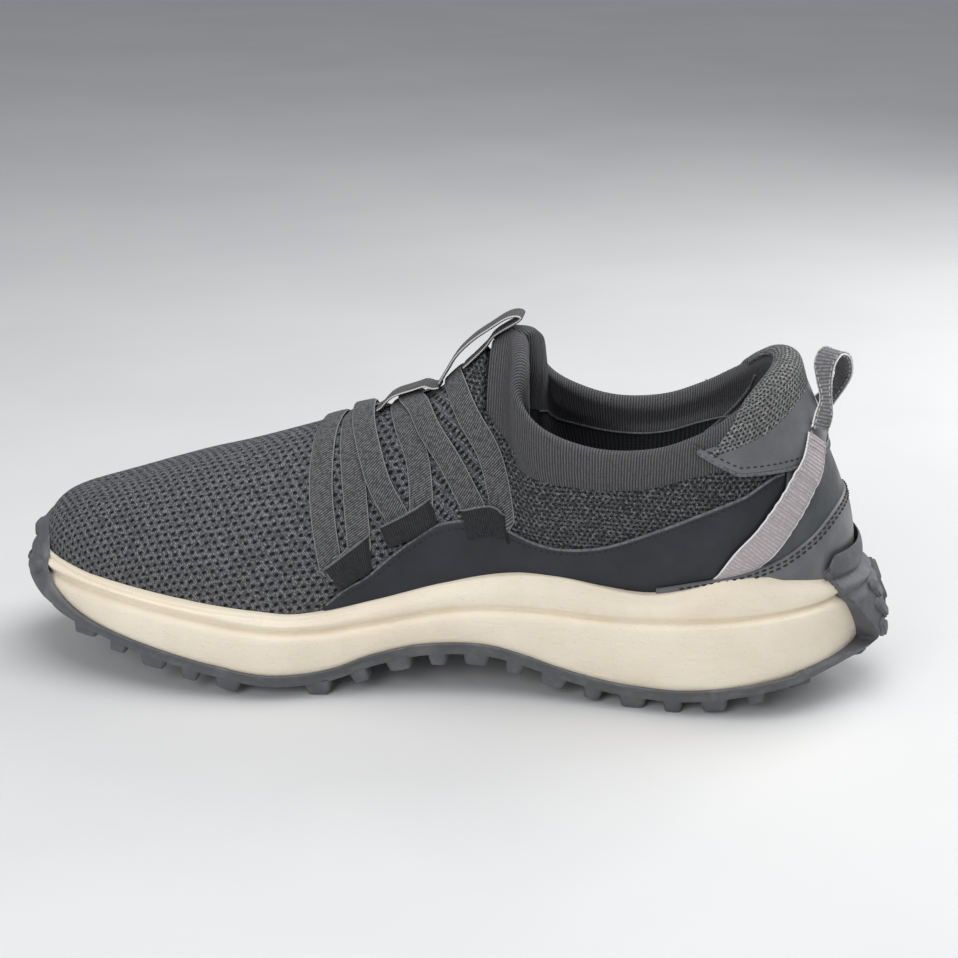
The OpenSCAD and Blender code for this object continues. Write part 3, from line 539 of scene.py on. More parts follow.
class Finish:
    """A Principled material with short helpers for its nodes."""

    def __init__(self, name, rough, sheen=0.0):
        self.material = bpy.data.materials.new(name)
        self.material.use_nodes = True
        self.tree = self.material.node_tree
        self.shader = self.tree.nodes["Principled BSDF"]
        self.shader.inputs["Roughness"].default_value = rough
        self.shader.inputs["Sheen Weight"].default_value = sheen
        self.bumps = None

    def node(self, kind, inputs=(), **props):
        n = self.tree.nodes.new(kind)
        for key, value in props.items():
            setattr(n, key, value)
        for key, value in dict(inputs).items():
            if isinstance(value, bpy.types.NodeSocket):
                self.tree.links.new(value, n.inputs[key])
            else:
                n.inputs[key].default_value = value
        return n

    def math(self, op, *values):
        return self.node("ShaderNodeMath", dict(enumerate(values)), operation=op).outputs[0]

    def add(self, a, b):
        return self.math("ADD", a, b)

    def less(self, a, b):
        return self.math("SUBTRACT", a, b)

    def mul(self, a, b):
        return self.math("MULTIPLY", a, b)

    def weave(self):
        """The u and v of the mesh's weave layer, in millimetres."""
        weave = self.node("ShaderNodeUVMap", uv_map="weave").outputs[0]
        split = self.node("ShaderNodeSeparateXYZ", {0: weave})
        return split.outputs[0], split.outputs[1]

    def side_view(self):
        """The place along and up the shoe, in millimetres."""
        split = self.node("ShaderNodeSeparateXYZ", {0: self.place()})
        return [self.mul(split.outputs[axis], 1 / MM) for axis in (0, 2)]

    def place(self):
        return self.node("ShaderNodeTexCoord").outputs["Object"]

    def noise(self, scale, detail=3.0, rough=0.55, stretch=None):
        at = self.place()
        if stretch:
            at = self.node("ShaderNodeVectorMath", {0: at, 1: stretch}, operation="MULTIPLY").outputs[0]
        made = self.node("ShaderNodeTexNoise",
                         {"Vector": at, "Scale": scale, "Detail": detail, "Roughness": rough})
        return made.outputs["Fac"]

    def remap(self, value, a, b, c=0.0, d=1.0):
        inputs = {0: value, 1: a, 2: b, 3: c, 4: d}
        return self.node("ShaderNodeMapRange", inputs, interpolation_type="SMOOTHSTEP").outputs[0]

    def mix(self, share, a, b):
        n = self.node("ShaderNodeMix", {0: share, 6: a, 7: b}, data_type="RGBA")
        return n.outputs[2]

    def wave(self, value, pitch):
        """0 to 1 ripple over value with a pitch in its units."""
        turn = self.mul(value, 2 * math.pi / pitch)
        return self.math("MULTIPLY_ADD", self.math("SINE", turn), 0.5, 0.5)

    def cells(self, u, v, pitch_u, pitch_v, half_u, half_v):
        """1 inside rounded holes, 0 on the yarn. Each row is shifted by half a hole."""
        row = self.math("DIVIDE", v, pitch_v)
        shift = self.mul(self.math("FLOOR", row), 0.5)
        column = self.add(self.math("DIVIDE", u, pitch_u), shift)
        du = self.math("DIVIDE", self.less(self.math("FRACT", column), 0.5), half_u)
        dv = self.math("DIVIDE", self.less(self.math("FRACT", row), 0.5), half_v)
        squares = [self.mul(way, way) for way in (du, dv)]
        far = self.math("SQRT", self.add(*squares))
        return self.remap(far, 1.25, 0.6)

    def color(self, value):
        self.tree.links.new(value, self.shader.inputs["Base Color"])

    def roughness(self, value):
        self.tree.links.new(value, self.shader.inputs["Roughness"])

    def bump(self, height, depth):
        """Adds a bump of that depth in millimetres over the ones before it."""
        inputs = {"Height": height, "Distance": depth * MM, "Strength": 1.0}
        if self.bumps is not None:
            inputs["Normal"] = self.bumps
        self.bumps = self.node("ShaderNodeBump", inputs).outputs[0]
        self.tree.links.new(self.bumps, self.shader.inputs["Normal"])


def knit_finish(name, pitch_u, pitch_v, half_u, half_v, yarn, hole_shade_and_mottle, painted_loop_highlight, mottle=0.35, flat=False):
    """Knit with rounded holes between the yarn, with painted shade in the holes and a painted highlight on
    the crests of the yarn loops. flat reads the weave from the side of the shoe.
    """
    m = Finish(name, rough=0.85, sheen=0.06)
    u, v = m.side_view() if flat else m.weave()
    wander = m.math("MULTIPLY_ADD", m.noise(220, 2), 0.8, -0.4)
    u, v = m.add(u, wander), m.add(v, wander)
    holes = m.cells(u, v, pitch_u, pitch_v, half_u, half_v)
    loops = m.wave(m.add(u, m.mul(m.wave(v, pitch_v / 2), 0.5)), 0.8)
    uneven = m.noise(900, 3, 0.7)
    # Painted highlight: the crests of the yarn loops are lightened towards the highlight tone.
    light = m.mix(m.mul(loops, m.remap(m.noise(1300, 2), 0.4, 0.65)), yarn, painted_loop_highlight)
    # Random mottle darkens the yarn towards the same dark tone that the holes use.
    light = m.mix(m.mul(m.remap(uneven, 0.4, 0.65), mottle), light, hole_shade_and_mottle)
    # Painted shade: the holes are filled with the dark tone, standing in for the shade inside them.
    m.color(m.mix(holes, light, hole_shade_and_mottle))
    m.bump(m.less(1.0, holes), 0.8)
    m.bump(loops, 0.2)
    m.bump(uneven, 0.3)
    return m.material


def rib_finish(name, pitch, yarn, shade, groove=0.25):
    """Fine ribs across the u direction. The grooves between the ribs are painted shade, mixed towards the
    shade tone, which the random mottle also uses.
    """
    m = Finish(name, rough=0.85, sheen=0.06)
    u, v = m.weave()
    u = m.add(u, m.math("MULTIPLY_ADD", m.noise(300, 2), 0.5, -0.25))
    ribs = m.wave(u, pitch)
    knots = m.wave(v, pitch * 0.8)
    uneven = m.noise(1100, 3, 0.7)
    both = m.mul(ribs, m.math("MULTIPLY_ADD", knots, 0.35, 0.65))
    # Painted shade in the grooves between the ribs.
    base = m.mix(m.math("POWER", both, 0.7), shade, yarn)
    m.color(m.mix(m.mul(m.remap(uneven, 0.4, 0.7), 0.4), base, shade))
    m.bump(both, groove)
    m.bump(uneven, 0.12)
    return m.material


def band_finish(name, yarn, shade, edge_light, edge_from, pitch=0.9, lean=0.5, edge_width=0.4):
    """Flat woven band: slanted ribs across it and a lighter cord along both edges. The troughs between the
    ribs are painted shade, mixed towards the shade tone, which the random speckle also uses.
    """
    m = Finish(name, rough=0.8, sheen=0.05)
    u, v = m.weave()
    slanted = m.add(u, m.mul(v, lean))
    ribs = m.wave(slanted, pitch)
    cross = m.wave(v, 0.7)
    uneven = m.noise(1000, 3, 0.7)
    # Painted shade in the troughs between the slanted ribs.
    base = m.mix(m.mul(ribs, 0.8), shade, yarn)
    base = m.mix(m.mul(m.remap(uneven, 0.42, 0.62), 0.75), base, shade)
    edge = m.remap(m.math("ABSOLUTE", v), edge_from, edge_from + edge_width)
    m.color(m.mix(edge, base, edge_light))
    m.bump(m.mul(ribs, m.math("MULTIPLY_ADD", cross, 0.4, 0.6)), 0.18)
    m.bump(edge, 0.2)
    return m.material


def smooth_finish(name, shade, worn, rough, grain, grain_scale, crease=0.0):
    """Leather or smooth coated fabric: fine grain, soft creases and a little wear."""
    m = Finish(name, rough)
    fine = m.node("ShaderNodeTexVoronoi", {"Vector": m.place(), "Scale": grain_scale},
                  feature="SMOOTH_F1").outputs["Distance"]
    soft = m.noise(60, 4)
    m.color(m.mix(m.remap(soft, 0.35, 0.75), shade, worn))
    m.roughness(m.remap(m.noise(140, 3), 0.3, 0.7, rough - 0.08, rough + 0.08))
    m.bump(fine, grain)
    if crease:
        m.bump(m.noise(90, 3, 0.6, (1, 1, 2.2)), crease)
    return m.material


def foam_finish():
    m = Finish("midsole foam", rough=0.6)
    low = m.node("ShaderNodeSeparateXYZ", {0: m.place()}).outputs[2]
    base = m.mix(m.remap(m.noise(28, 4), 0.35, 0.75), tone(246, 235, 214), tone(236, 223, 200))
    specks = m.node("ShaderNodeTexVoronoi", {"Vector": m.place(), "Scale": 420.0}).outputs["Distance"]
    base = m.mix(m.mul(m.remap(specks, 0.13, 0.06), 0.3), base, tone(176, 164, 144))
    # Painted shade near the floor: the foam is darkened below 13 mm above the floor, most at 6 mm.
    m.color(m.mix(m.remap(low, 0.013, 0.006, 0, 0.5), base, tone(172, 162, 146)))
    creases = m.noise(120, 4, 0.65, (0.6, 1, 1.3))
    m.bump(m.remap(m.math("ABSOLUTE", m.less(creases, 0.5)), 0.0, 0.05), 0.07)
    m.bump(m.noise(1000, 2), 0.1)
    m.bump(m.noise(180, 3), 0.14)
    return m.material


def rubber_finish():
    m = Finish("outsole rubber", rough=0.62)
    m.color(m.mix(m.remap(m.noise(120, 5, 0.7), 0.42, 0.75), tone(92, 93, 96), tone(116, 116, 118)))
    m.bump(m.noise(1600, 2), 0.08)
    m.bump(m.noise(300, 3), 0.08)
    return m.material


def plain_finish(name, shade, rough, texture, other):
    """Board, foam, thread or cut edge: a mottle of two tones."""
    m = Finish(name, rough)
    m.color(m.mix(m.remap(m.noise(texture, 4, 0.7), 0.3, 0.7), shade, other))
    m.bump(m.noise(texture * 2, 3), 0.2)
    return m.material


def floor_finish():
    m = Finish("floor", rough=0.75)
    m.color(m.mix(m.remap(m.noise(6, 3), 0.3, 0.7), tone(226, 226, 226), tone(231, 231, 230)))
    return m.material


# In each knit below, the last two tones are the painted shade in its holes (also its mottle tone) and the
# painted highlight on its loop crests.
KNIT = knit_finish("vamp knit", 3.0, 2.5, 0.27, 0.27, tone(80, 81, 84), tone(7, 7, 9), tone(172, 173, 177))
QUARTER = knit_finish("quarter knit", 1.9, 1.5, 0.3, 0.3, tone(62, 63, 66), tone(10, 10, 12),
                      tone(172, 174, 176), 0.75, flat=True)
# Collar rib, lining and footbed fabrics: the second tone is the painted shade in the rib grooves and the tone
# of their random mottle.
RIB = rib_finish("collar rib knit", 0.95, tone(106, 106, 109), tone(34, 34, 37))
HEEL_KNIT = knit_finish("heel collar knit", 2.0, 1.3, 0.3, 0.28, tone(122, 122, 122), tone(30, 30, 30),
                        tone(204, 204, 202), 0.55)
LINING = rib_finish("lining knit", 1.6, tone(54, 55, 59), tone(16, 17, 19), 0.35)
BED = rib_finish("footbed fabric", 1.2, tone(58, 58, 62), tone(28, 28, 31), 0.12)
ELASTIC = band_finish("lace elastic", tone(142, 142, 143), tone(48, 48, 49), tone(150, 150, 150),
                      3.55, 0.85, 0.6)
TAPE = band_finish("keeper tape", tone(58, 59, 62), tone(20, 20, 22), tone(70, 70, 72), 90.0, 0.8, 0.0)
WEBBING = band_finish("front webbing", tone(116, 114, 113), tone(70, 69, 69), tone(205, 202, 198),
                      4.3, 0.9, 0.0, 0.3)
RIBBON = band_finish("heel webbing", tone(212, 203, 204), tone(172, 163, 165), tone(232, 228, 227),
                     4.75, 1.15, 0.0, 0.2)
LOOP_WEB = band_finish("heel loop webbing", tone(160, 159, 161), tone(98, 98, 101), tone(232, 229, 228),
                       4.2, 1.2, 0.0, 0.2)
SMOOTH = smooth_finish("saddle coating", tone(29, 32, 39), tone(36, 40, 48), 0.5, 0.03, 900.0)
LEATHER = smooth_finish("heel leather", tone(98, 99, 102), tone(118, 118, 121), 0.42, 0.05, 700.0, crease=0.4)
PANEL = smooth_finish("heel panel leather", tone(66, 69, 71), tone(82, 85, 87), 0.5, 0.05, 700.0, crease=0.4)
# Pale tone of the cut edges, piping and seams, and of the painted highlight along the saddle's top edge.
EDGE = plain_finish("cut edge and painted edge highlight", tone(124, 125, 128), 0.85, 900.0, tone(80, 81, 84))
THREAD = plain_finish("thread", tone(30, 30, 32), 0.7, 900.0, tone(44, 44, 46))
PALE_THREAD = plain_finish("pale thread", tone(196, 192, 191), 0.7, 900.0, tone(166, 162, 161))
FOAM, RUBBER = foam_finish(), rubber_finish()
BOARD = plain_finish("strobel board", tone(196, 192, 182), 0.9, 300.0, tone(182, 178, 168))
STIFF = plain_finish("stiffener board", tone(176, 150, 116), 0.8, 300.0, tone(160, 136, 104))
PAD = plain_finish("padding foam", tone(226, 214, 160), 0.9, 700.0, tone(206, 194, 142))


# ---- upper: knit, lining and collar ----
def unrolled(w, v):
    """Coordinates of points on the upper as if the knit were laid flat from its ridge."""
    fine = np.linspace(0, 1, 65)
    s = [part[:, None] for part in section(w)]
    run = lengths(bez(s, fine[None, :, None]), 1)
    down = np.stack([np.interp(v[i], fine, run[i, -1] - run[i]) for i in range(len(w))])
    return s[4][..., :2] + down[..., None] * s[0][..., :2]


def upper_top(w):
    return np.where(along(w) < BAND_FROM - 0.01, 1.0, band_v(w) - SEAM)


def behind_lace(points):
    """True behind the lace's last run, where the quarter has the finer marled knit."""
    run = curve(np.array([[12.45, 0.1]] + F_UP + [[10.55, 1.0]]), 6)
    line = surf(run[:, 0], run[:, 1])
    return points[:, 0] < np.interp(points[:, 2], line[:, 2], line[:, 0])


def upper_layer(name, slot, finish, depth, thick, nodes, rows=48, second=None):
    """Full shell of the upper, toe to heel."""
    w = np.arange(0, TURNS + 0.01, 0.125)
    u = np.linspace(0, 1, rows + 1)[None]
    v = upper_top(w)[:, None] * u
    wide = w[:, None] + 0 * v
    out = -depth(wide, u + 0 * v)
    shell = Build().shell(surf(wide, v, out), surf(wide, v, out - thick), unrolled(w, v), wrap=True,
                          fold=along(w) < BAND_FROM - 0.01)
    return shell.done(name, slot, finish, None, replaces=nodes, second=second)


def band_depths(w):
    """Middle depth and radius of the collar band's rolled edge."""
    outer, inner = 0.9, -(5.0 + 2.4 * pad_share(w, 1))
    return (outer + inner) / 2, (outer - inner) / 2


def band_out(t):
    """Outward offset of the collar band's outer face at share t of its height."""
    return 0.5 + 0.4 * smooth(t * 5) + 0.45 * np.sin(math.pi * np.clip(t, 0, 1))


def roll(w, q, extra=0.0):
    """(v, offset) on the collar band's outer face: q is 0 at its seam and 1 at the top of its roll."""
    low, (middle, radius) = band_v(w), band_depths(w)
    reach = radius / np.linalg.norm(bez_d(section(w), np.ones(w.shape)[..., None]), axis=-1)
    t = np.clip(q / ROLL_FROM, 0, 1)
    turn = np.maximum(q - ROLL_FROM, 0) / (1 - ROLL_FROM) * math.pi / 2
    share = 1 + extra / radius
    straight = q < ROLL_FROM
    v = np.where(straight, lerp(low, 1 - reach, t), 1 - reach + reach * share * np.sin(turn))
    return v, np.where(straight, band_out(t) + extra, middle + radius * share * np.cos(turn))


def collar_band():
    w = np.concatenate([[11.55, 11.75], np.arange(12, 34.01, 0.125), [34.25, 34.45]])[:, None]
    q = np.concatenate([np.linspace(0, ROLL_FROM, 15)[:-1], np.linspace(ROLL_FROM, 1, 7)])[None]
    w, q = np.broadcast_arrays(w, q)
    v, outer = roll(w, q)
    middle, radius = band_depths(w)
    deep = 3.2 + 5.6 * pad_share(w, 1)
    inner = np.where(q < ROLL_FROM, -lerp(deep, radius - middle, smooth(2 * q / ROLL_FROM)),
                     2 * middle - outer)
    out_grid = surf(w, v, outer)
    along_edge = lengths(out_grid, 0)[:, 8][:, None]
    uv = np.stack(np.broadcast_arrays(along_edge, lengths(out_grid, 1)), -1)
    shell = Build().shell(out_grid, surf(w, v, inner), uv, fold=along(w[:, 0]) <= THROAT + 0.01)
    piece = shell.done("collar_band_padded", "rib_knit", RIB, replaces=["collar_band"])
    collar_seams()


def collar_seams():
    """Flat seams inside the collar: under the band, and down each side of the heel padding."""
    build = Build()
    w = np.linspace(13, TURNS - 13, 300)
    cord_line(build, on_face(w, band_v(w), -(3.1 + 5.6 * pad_share(w, 1)))[0], 0.45)
    for turn in (lambda w: w, lambda w: TURNS - w):
        w = turn(np.linspace(20.4, 18.2, 40))
        v = np.linspace(0.93, 0.74, 40)
        cord_line(build, on_face(w, v, -7.6 - 0.9 * smooth((0.9 - v) / 0.08))[0], 0.55)
    build.done("collar_inner_seams", "rib_knit", EDGE)


def heel_collar_knit():
    """Coarse knit facing over the padded collar's roll, above the leather patch."""
    w, _ = columns(LEAF_FROM, TURNS - LEAF_FROM, 0.0625)
    w = w[:, None]
    rise = np.clip((along(w) - LEAF_FROM) / 1.7, 0, 1)
    low = v_of(w, knot(PATCH_TOP, along(w)) - 4 * smooth(3 * rise))
    seam, top = band_v(w), roll(w, np.full(w.shape, ROLL_FROM))[0]
    q_low = ROLL_FROM * np.clip((low - seam) / (top - seam), 0, 1)
    q_high = np.maximum(lerp(q_low, 1.14, rise), q_low + 0.02)
    t, thick = soft_edges(20, EDGE_ROUND, 22)
    q = lerp(q_low, q_high, t[None])
    wide = w + 0 * q
    extra = 0.3 + (0.75 + 0.9 * np.sin(math.pi * t[None]) * smooth(rise)) * thick[None]
    grids = [surf(wide, *roll(wide, q, e)) for e in (extra, 0.1 + 0 * extra)]
    build = Build().shell(*grids, mapped(grids[0]))
    build.done("heel_collar_knit", "knit", HEEL_KNIT)


# ---- overlays ----
def face_x(w, z):
    return bez(section(w), v_of(w, z)[..., None])[..., 0]


def saddle_v(w):
    return v_of(w, knot(SADDLE_TOP, face_x(w, 65)))


def rim_v(w, dz):
    return v_of(w, knot(RIM, foot_x(w)) + dz)


def behind_foam(w):
    return rim_v(w, -1.5)


def both_sides(make_side):
    """Runs once a side; turn(w) gives the same place on that side."""
    for name, turn in (("medial", lambda w: w), ("lateral", lambda w: TURNS - w[::-1])):
        make_side(name, turn)


def under_strap(w, t):
    """Slants the seam between saddle and heel panel so that it runs under the strap."""
    near = smooth((along(w) - 17) / 3.5) * (1 - smooth((along(w) - 21) / 1.8))
    return np.sign(w - LAST) * 1.75 * (1 - t) ** 1.3 * near


def saddle(side, turn):
    w, thick = columns(SADDLE_FROM, SADDLE_END)
    thick = thick if side == "medial" else thick[::-1]
    build = patch(turn(w), thick, behind_foam, lambda w: np.maximum(saddle_v(w), rim_v(w, 2)), BOND,
                  n=20, size=24, skew=under_strap)
    build.done(f"saddle_{side}_smooth", "smooth_overlay", SMOOTH, replaces=[f"saddle_{side}"])
    # Painted highlight: a pale cord along the saddle's top edge stands in for the light that edge catches.
    line = turn(np.linspace(SADDLE_FROM + 0.05, SADDLE_END - 0.05, 160))
    edge = cord_line(Build(), on_face(line, saddle_v(line), OVERLAY_T * 0.75)[0], 0.5)
    edge.done(f"saddle_{side}_edge", "smooth_overlay", EDGE)
    seam = turn(np.linspace(SADDLE_FROM + 0.35, SADDLE_END - 0.15, 200))
    thread = stitches(Build(), *on_face(seam, saddle_v(seam) - 0.022, OVERLAY_T + 0.12), 2.2, 1.5, 0.24)
    thread.done(f"saddle_{side}_stitching", "smooth_overlay", THREAD)


def heel_panel():
    w, thick = columns(PANEL_FROM, TURNS - PANEL_FROM)
    build = patch(w, thick, behind_foam, lambda w: v_of(w, 86.5 + 0 * w), BOND,
                  n=20, size=34, swell=lambda w, t: 0.5 * np.sin(math.pi * t), skew=under_strap)
    build.done("heel_panel_leather", "heel_leather", PANEL, replaces=["heel_panel"])


def foxing_v(w):
    return v_of(w, knot(FOXING_TOP, foot_x(w)))


def heel_foxing():
    w, thick = columns(FOXING_FROM, TURNS - FOXING_FROM)
    build = patch(w, thick, behind_foam, foxing_v, OVERLAY_T + 0.3, n=12, size=14)
    build.done("heel_foxing_leather", "heel_leather", LEATHER, replaces=["heel_foxing"])
    seam = np.linspace(FOXING_FROM + 0.6, TURNS - FOXING_FROM - 0.6, 400)
    thread = Build()
    for down in (0.012, 0.032):
        p, n = on_face(seam, foxing_v(seam) - down, 2 * OVERLAY_T + 0.4)
        stitches(thread, p, n, 2.5, 1.8, 0.34)
    thread.done("heel_foxing_stitching", "heel_leather", THREAD)


def patch_low(w):
    """Lower edge of the heel collar patch: level at the heel, and rising to its tips."""
    return v_of(w, 85 + np.maximum(19.3 - along(w), 0) * 6)


def heel_collar_patch():
    w, thick = columns(PATCH_FROM, TURNS - PATCH_FROM)
    build = patch(w, thick, patch_low, lambda w: v_of(w, knot(PATCH_TOP, along(w))), 1.2, n=12, size=16,
                  swell=lambda w, t: 0.6 * np.sin(math.pi * t) * smooth((along(w) - PATCH_FROM) / 1.5))
    build.done("heel_collar_patch_leather", "heel_leather", LEATHER, replaces=["heel_collar_patch"])
    line = np.linspace(PATCH_FROM + 0.05, TURNS - PATCH_FROM - 0.05, 300)
    rim = cord_line(Build(), on_face(line, patch_low(line) - 0.004, 1.7)[0], 0.75, 8)
    rim.done("heel_patch_piping", "heel_leather", EDGE)
    thread = stitches(Build(), *on_face(line, patch_low(line) + 0.028, 2.55), 2.3, 1.6, 0.26)
    thread.done("heel_patch_stitching", "heel_leather", THREAD)


# ---- heel strap and pull loop ----
# [height, middle of the strap as w]
STRAP_ROWS = [[45, 18.85], [55, 19.3], [62, 19.75], [70, 20.25], [78, 20.82], [84, 21.3], [91, 21.8]]
# Middle line of the pull loop from the medial strap over to the lateral one, and its facing on the way
LOOP_MID = np.array([[-124.4, 12.6, 94.5], [-125.4, 11.2, 98.6], [-125.8, 8.8, 103.5], [-125, 6.2, 109.5],
                     [-125, 3.8, 114.6], [-127, 1.2, 117.4], [-130, -2.2, 115.6], [-131.4, -5.6, 109.8],
                     [-129.8, -9, 102.5], [-124.8, -12.6, 94.5]])
LOOP_TURN = np.array([[-0.62, -0.78, 0], [-0.84, -0.54, 0], [-0.98, -0.17, 0], [-0.96, 0.26, 0],
                      [-0.84, 0.54, 0], [-0.75, 0.66, 0], [-0.68, 0.73, 0], [-0.64, 0.77, 0],
                      [-0.62, 0.78, 0], [-0.62, 0.78, 0]])
# Width of the loop's webbing along it: it is pinched where it leaves the strap
LOOP_WIDTH = np.array([9.6, 7.2, 4.2, 5.6, 8.4, 9.5, 9.5, 8.6, 6.5, 9.4])


def heel_strap(side, turn):
    rows = curve(np.array(STRAP_ROWS, float), 8)
    z, w = rows[:, 0], rows[:, 1] if side == "medial" else TURNS - rows[:, 1]
    lift = 1.75 + 1.15 * smooth((z - 78) / 6)
    p, n = on_face(w, v_of(w, z), lift)
    ripple = 0.22 * np.sin(z * 2.1) * smooth((z - 62) / 6) * (1 - smooth((z - 80) / 5))
    edge = turn(np.linspace(17.5, 22.5, 60))
    line = surf(edge, foxing_v(edge), 0.0)
    line = line[np.argsort(line[:, 0])]

    def tuck(grid):
        """The strap dives under the stitched edge of the foxing."""
        over_edge = grid[..., 2] - np.interp(grid[..., 0], line[:, 0], line[:, 2])
        return -1.0 * (1 - smooth((over_edge + 0.5) / 2.5))

    build = band(Build(), p + n * ripple[:, None], n, STRAP_W, 1.0, 0.1, steps=10, lift=tuck)
    build.done(f"heel_strap_{side}_webbing", "heel_webbing", RIBBON, replaces=[f"heel_strap_{side}"])
    _, across, up = frames(p, n)
    thread = Build()
    clear = p[:, 2] > np.interp(p[:, 0], line[:, 0], line[:, 2]) + 5
    for edge in (-1, 1):
        row = p + across * edge * (STRAP_W / 2 - 1.1) + up * 1.15
        stitches(thread, row[clear], n[clear], 1.9, 1.4, 0.2)
    for k in (0, 2):
        at = len(p) - 3 - k
        bar = p[at] + up[at] * 1.2 + across[at] * np.linspace(-4, 4, 9)[:, None]
        stitches(thread, bar, np.tile(n[at], (9, 1)), 1.6, 1.3, 0.22)
    thread.done(f"heel_strap_{side}_stitching", "heel_webbing", PALE_THREAD)


def heel_pull_loop():
    p, turn = curve(LOOP_MID, 6), curve(LOOP_TURN, 6)
    ahead = np.gradient(p, axis=0)
    normals = np.cross(ahead, turn)
    normals /= np.linalg.norm(normals, axis=1, keepdims=True)
    width = curve(LOOP_WIDTH[:, None], 6)[:, 0]
    build = band(Build(), p - normals * 0.6, normals, width, 1.2, 0.05, steps=10)
    build.done("heel_pull_loop_webbing", "heel_webbing", LOOP_WEB, "pull_loop", replaces=["heel_pull_loop"])
    _, across, up = frames(p, normals)
    thread = Build()
    for edge in (-1, 1):
        for out in (-0.62, 0.72):
            row = p + across * edge * (width / 2 - 0.9)[:, None] + up * out
            stitches(thread, row, normals, 2.1, 1.4, 0.24)
    thread.done("heel_pull_loop_stitching", "heel_webbing", PALE_THREAD, "pull_loop")


# ---- front strip, pull tab, lace and keepers ----
# Middle of the vamp strip along the ridge, [w, lift]
STRIP_ROWS = [[8.84, 0.35], [8.95, 1.0], [9.06, 2.2], [9.2, 3.4], [9.4, 3.9], [9.8, 3.8], [9.95, 3.4],
              [10.08, 1.4], [10.2, 0.4]]
# Middle line of the front tab, [x, z], and its end that is sewn down the ridge, [w, lift]
TAB_MID = [[2.5, 102.1], [0.5, 105.6], [-3.5, 112.2], [-9, 117.8], [-15, 122.2], [-20, 125.6], [-23.6, 126.6],
           [-24.6, 125.2]]
TAB_END = [[11.66, 1.3], [11.4, 0.6], [11.1, 0.45], [10.85, 0.4]]


def vamp_strip():
    """Webbing tunnel on the vamp, lifted over the lace runs that pass under it."""
    rows = curve(np.array(STRIP_ROWS), 5)
    p, out = over_face(rows[:, 0], np.ones(len(rows)))
    p = p + out * rows[:, 1:]
    n = np.tile([0.25, 0, 1.0], (len(p), 1))
    build = band(Build(), p, n, 10, 1.0, 0.1, steps=10)
    build.done("vamp_strip_webbing", "webbing", WEBBING, replaces=["vamp_strip"])


def front_pull_tab():
    """Folded finger tab: out over the tongue and back down to the ridge."""
    mid, end = np.array(TAB_MID, float), np.array(TAB_END)
    sewn = surf(end[:, 0], np.ones(len(end)), end[:, 1])
    p = curve(np.concatenate([np.stack([mid[:, 0], 3 + 0 * mid[:, 0], mid[:, 1]], 1), sewn]), 6)
    ahead = np.gradient(p, axis=0)
    n = np.cross(ahead, [0, 1.0, 0])
    n /= np.linalg.norm(n, axis=1, keepdims=True)
    build = band(Build(), p - n * 0.55, n, 10, 1.1, 0.05, steps=10)
    build.done("front_pull_tab_webbing", "webbing", WEBBING, replaces=["front_pull_tab"])


# Runs of the lace on the medial side from keeper to ridge, as (w, s)
A_UP = [[8.18, 0.29], [7.94, 0.55], [7.86, 0.8]]
B_UP = [[8.72, 0.34], [8.62, 0.5], [8.42, 0.78]]
C_UP = [[9.45, 0.43], [9.05, 0.57], [8.7, 0.8]]
D_UP = [[9.98, 0.43], [9.86, 0.6], [9.5, 0.8]]
E_UP = [[11.32, 0.38], [10.86, 0.5], [10.15, 0.7], [9.8, 0.86]]
F_UP = [[12.32, 0.34], [11.86, 0.47], [11.2, 0.64], [10.8, 0.8]]


def far_side(rows):
    return [[w, 2 - s] for w, s in rows[::-1]]


# One closed loop of elastic: each run goes from a keeper on one side to a keeper on the other
RUNS = [(A_UP + [[7.88, 1]] + far_side(A_UP), 0), ((C_UP + [[8.55, 1]] + far_side(B_UP))[::-1], 1),
        (D_UP + [[9.35, 1]] + far_side(E_UP), 0), ((F_UP + [[10.55, 1]] + far_side(F_UP))[::-1], 0),
        (E_UP + [[9.5, 1]] + far_side(D_UP), 1), ((B_UP + [[8.4, 1]] + far_side(C_UP))[::-1], 0)]
CROSS_LIFT = 1.6


def lace_turn(a, b):
    """Points of the half turn from run end a to run start b, in (w, s)."""
    reach = 0.035 if a[1] < 1 else -0.035
    return [[lerp(a[0], b[0], t), lerp(a[1], b[1], t) - reach * drop]
            for t, drop in ((0.13, 0.72), (0.5, 1.0), (0.87, 0.72))]


def elastic_lace():
    rows = []
    for k, (run, crosses) in enumerate(RUNS):
        for w, s in run:
            rows.append([w, s, 0.4 + crosses * CROSS_LIFT * float(smooth((min(s, 2 - s) - 0.44) / 0.16))])
        rows += [[w, s, 1.0] for w, s in lace_turn(run[-1], RUNS[(k + 1) % len(RUNS)][0][0])]
    rows = np.array(rows)
    ring = np.concatenate([rows[-1:], rows, rows[:2]])
    t = np.linspace(0, 1, 14, endpoint=False)[:, None]
    path = np.concatenate([blend4(ring[i], ring[i + 1], ring[i + 2], ring[i + 3], t)
                           for i in range(len(rows))])
    p, n = over_face(path[:, 0], path[:, 1])
    rows = np.concatenate([p, n, path[:, 2:]], 1)
    line = resample(np.concatenate([rows, rows[:1]]), 1.4)[:-1]
    p, n = line[:, :3], line[:, 3:6]
    build = band(Build(), p + n * line[:, 6:7], n, LACE_W, 1.1, 0.12, closed=True, steps=10)
    build.done("elastic_lace_loop", "elastic", ELASTIC, replaces=["elastic_lace"])


# Corners of each keeper tape on the upper as (w, v): top front, top back, bottom back, bottom front
KEEPERS = [[(8.02, 0.27), (8.92, 0.38), (8.98, 0.25), (8.36, 0.185)],
           [(9.12, 0.4), (10.2, 0.462), (10.36, 0.37), (9.3, 0.32)],
           [(10.98, 0.385), (12.5, 0.352), (12.72, 0.272), (11.2, 0.286)]]


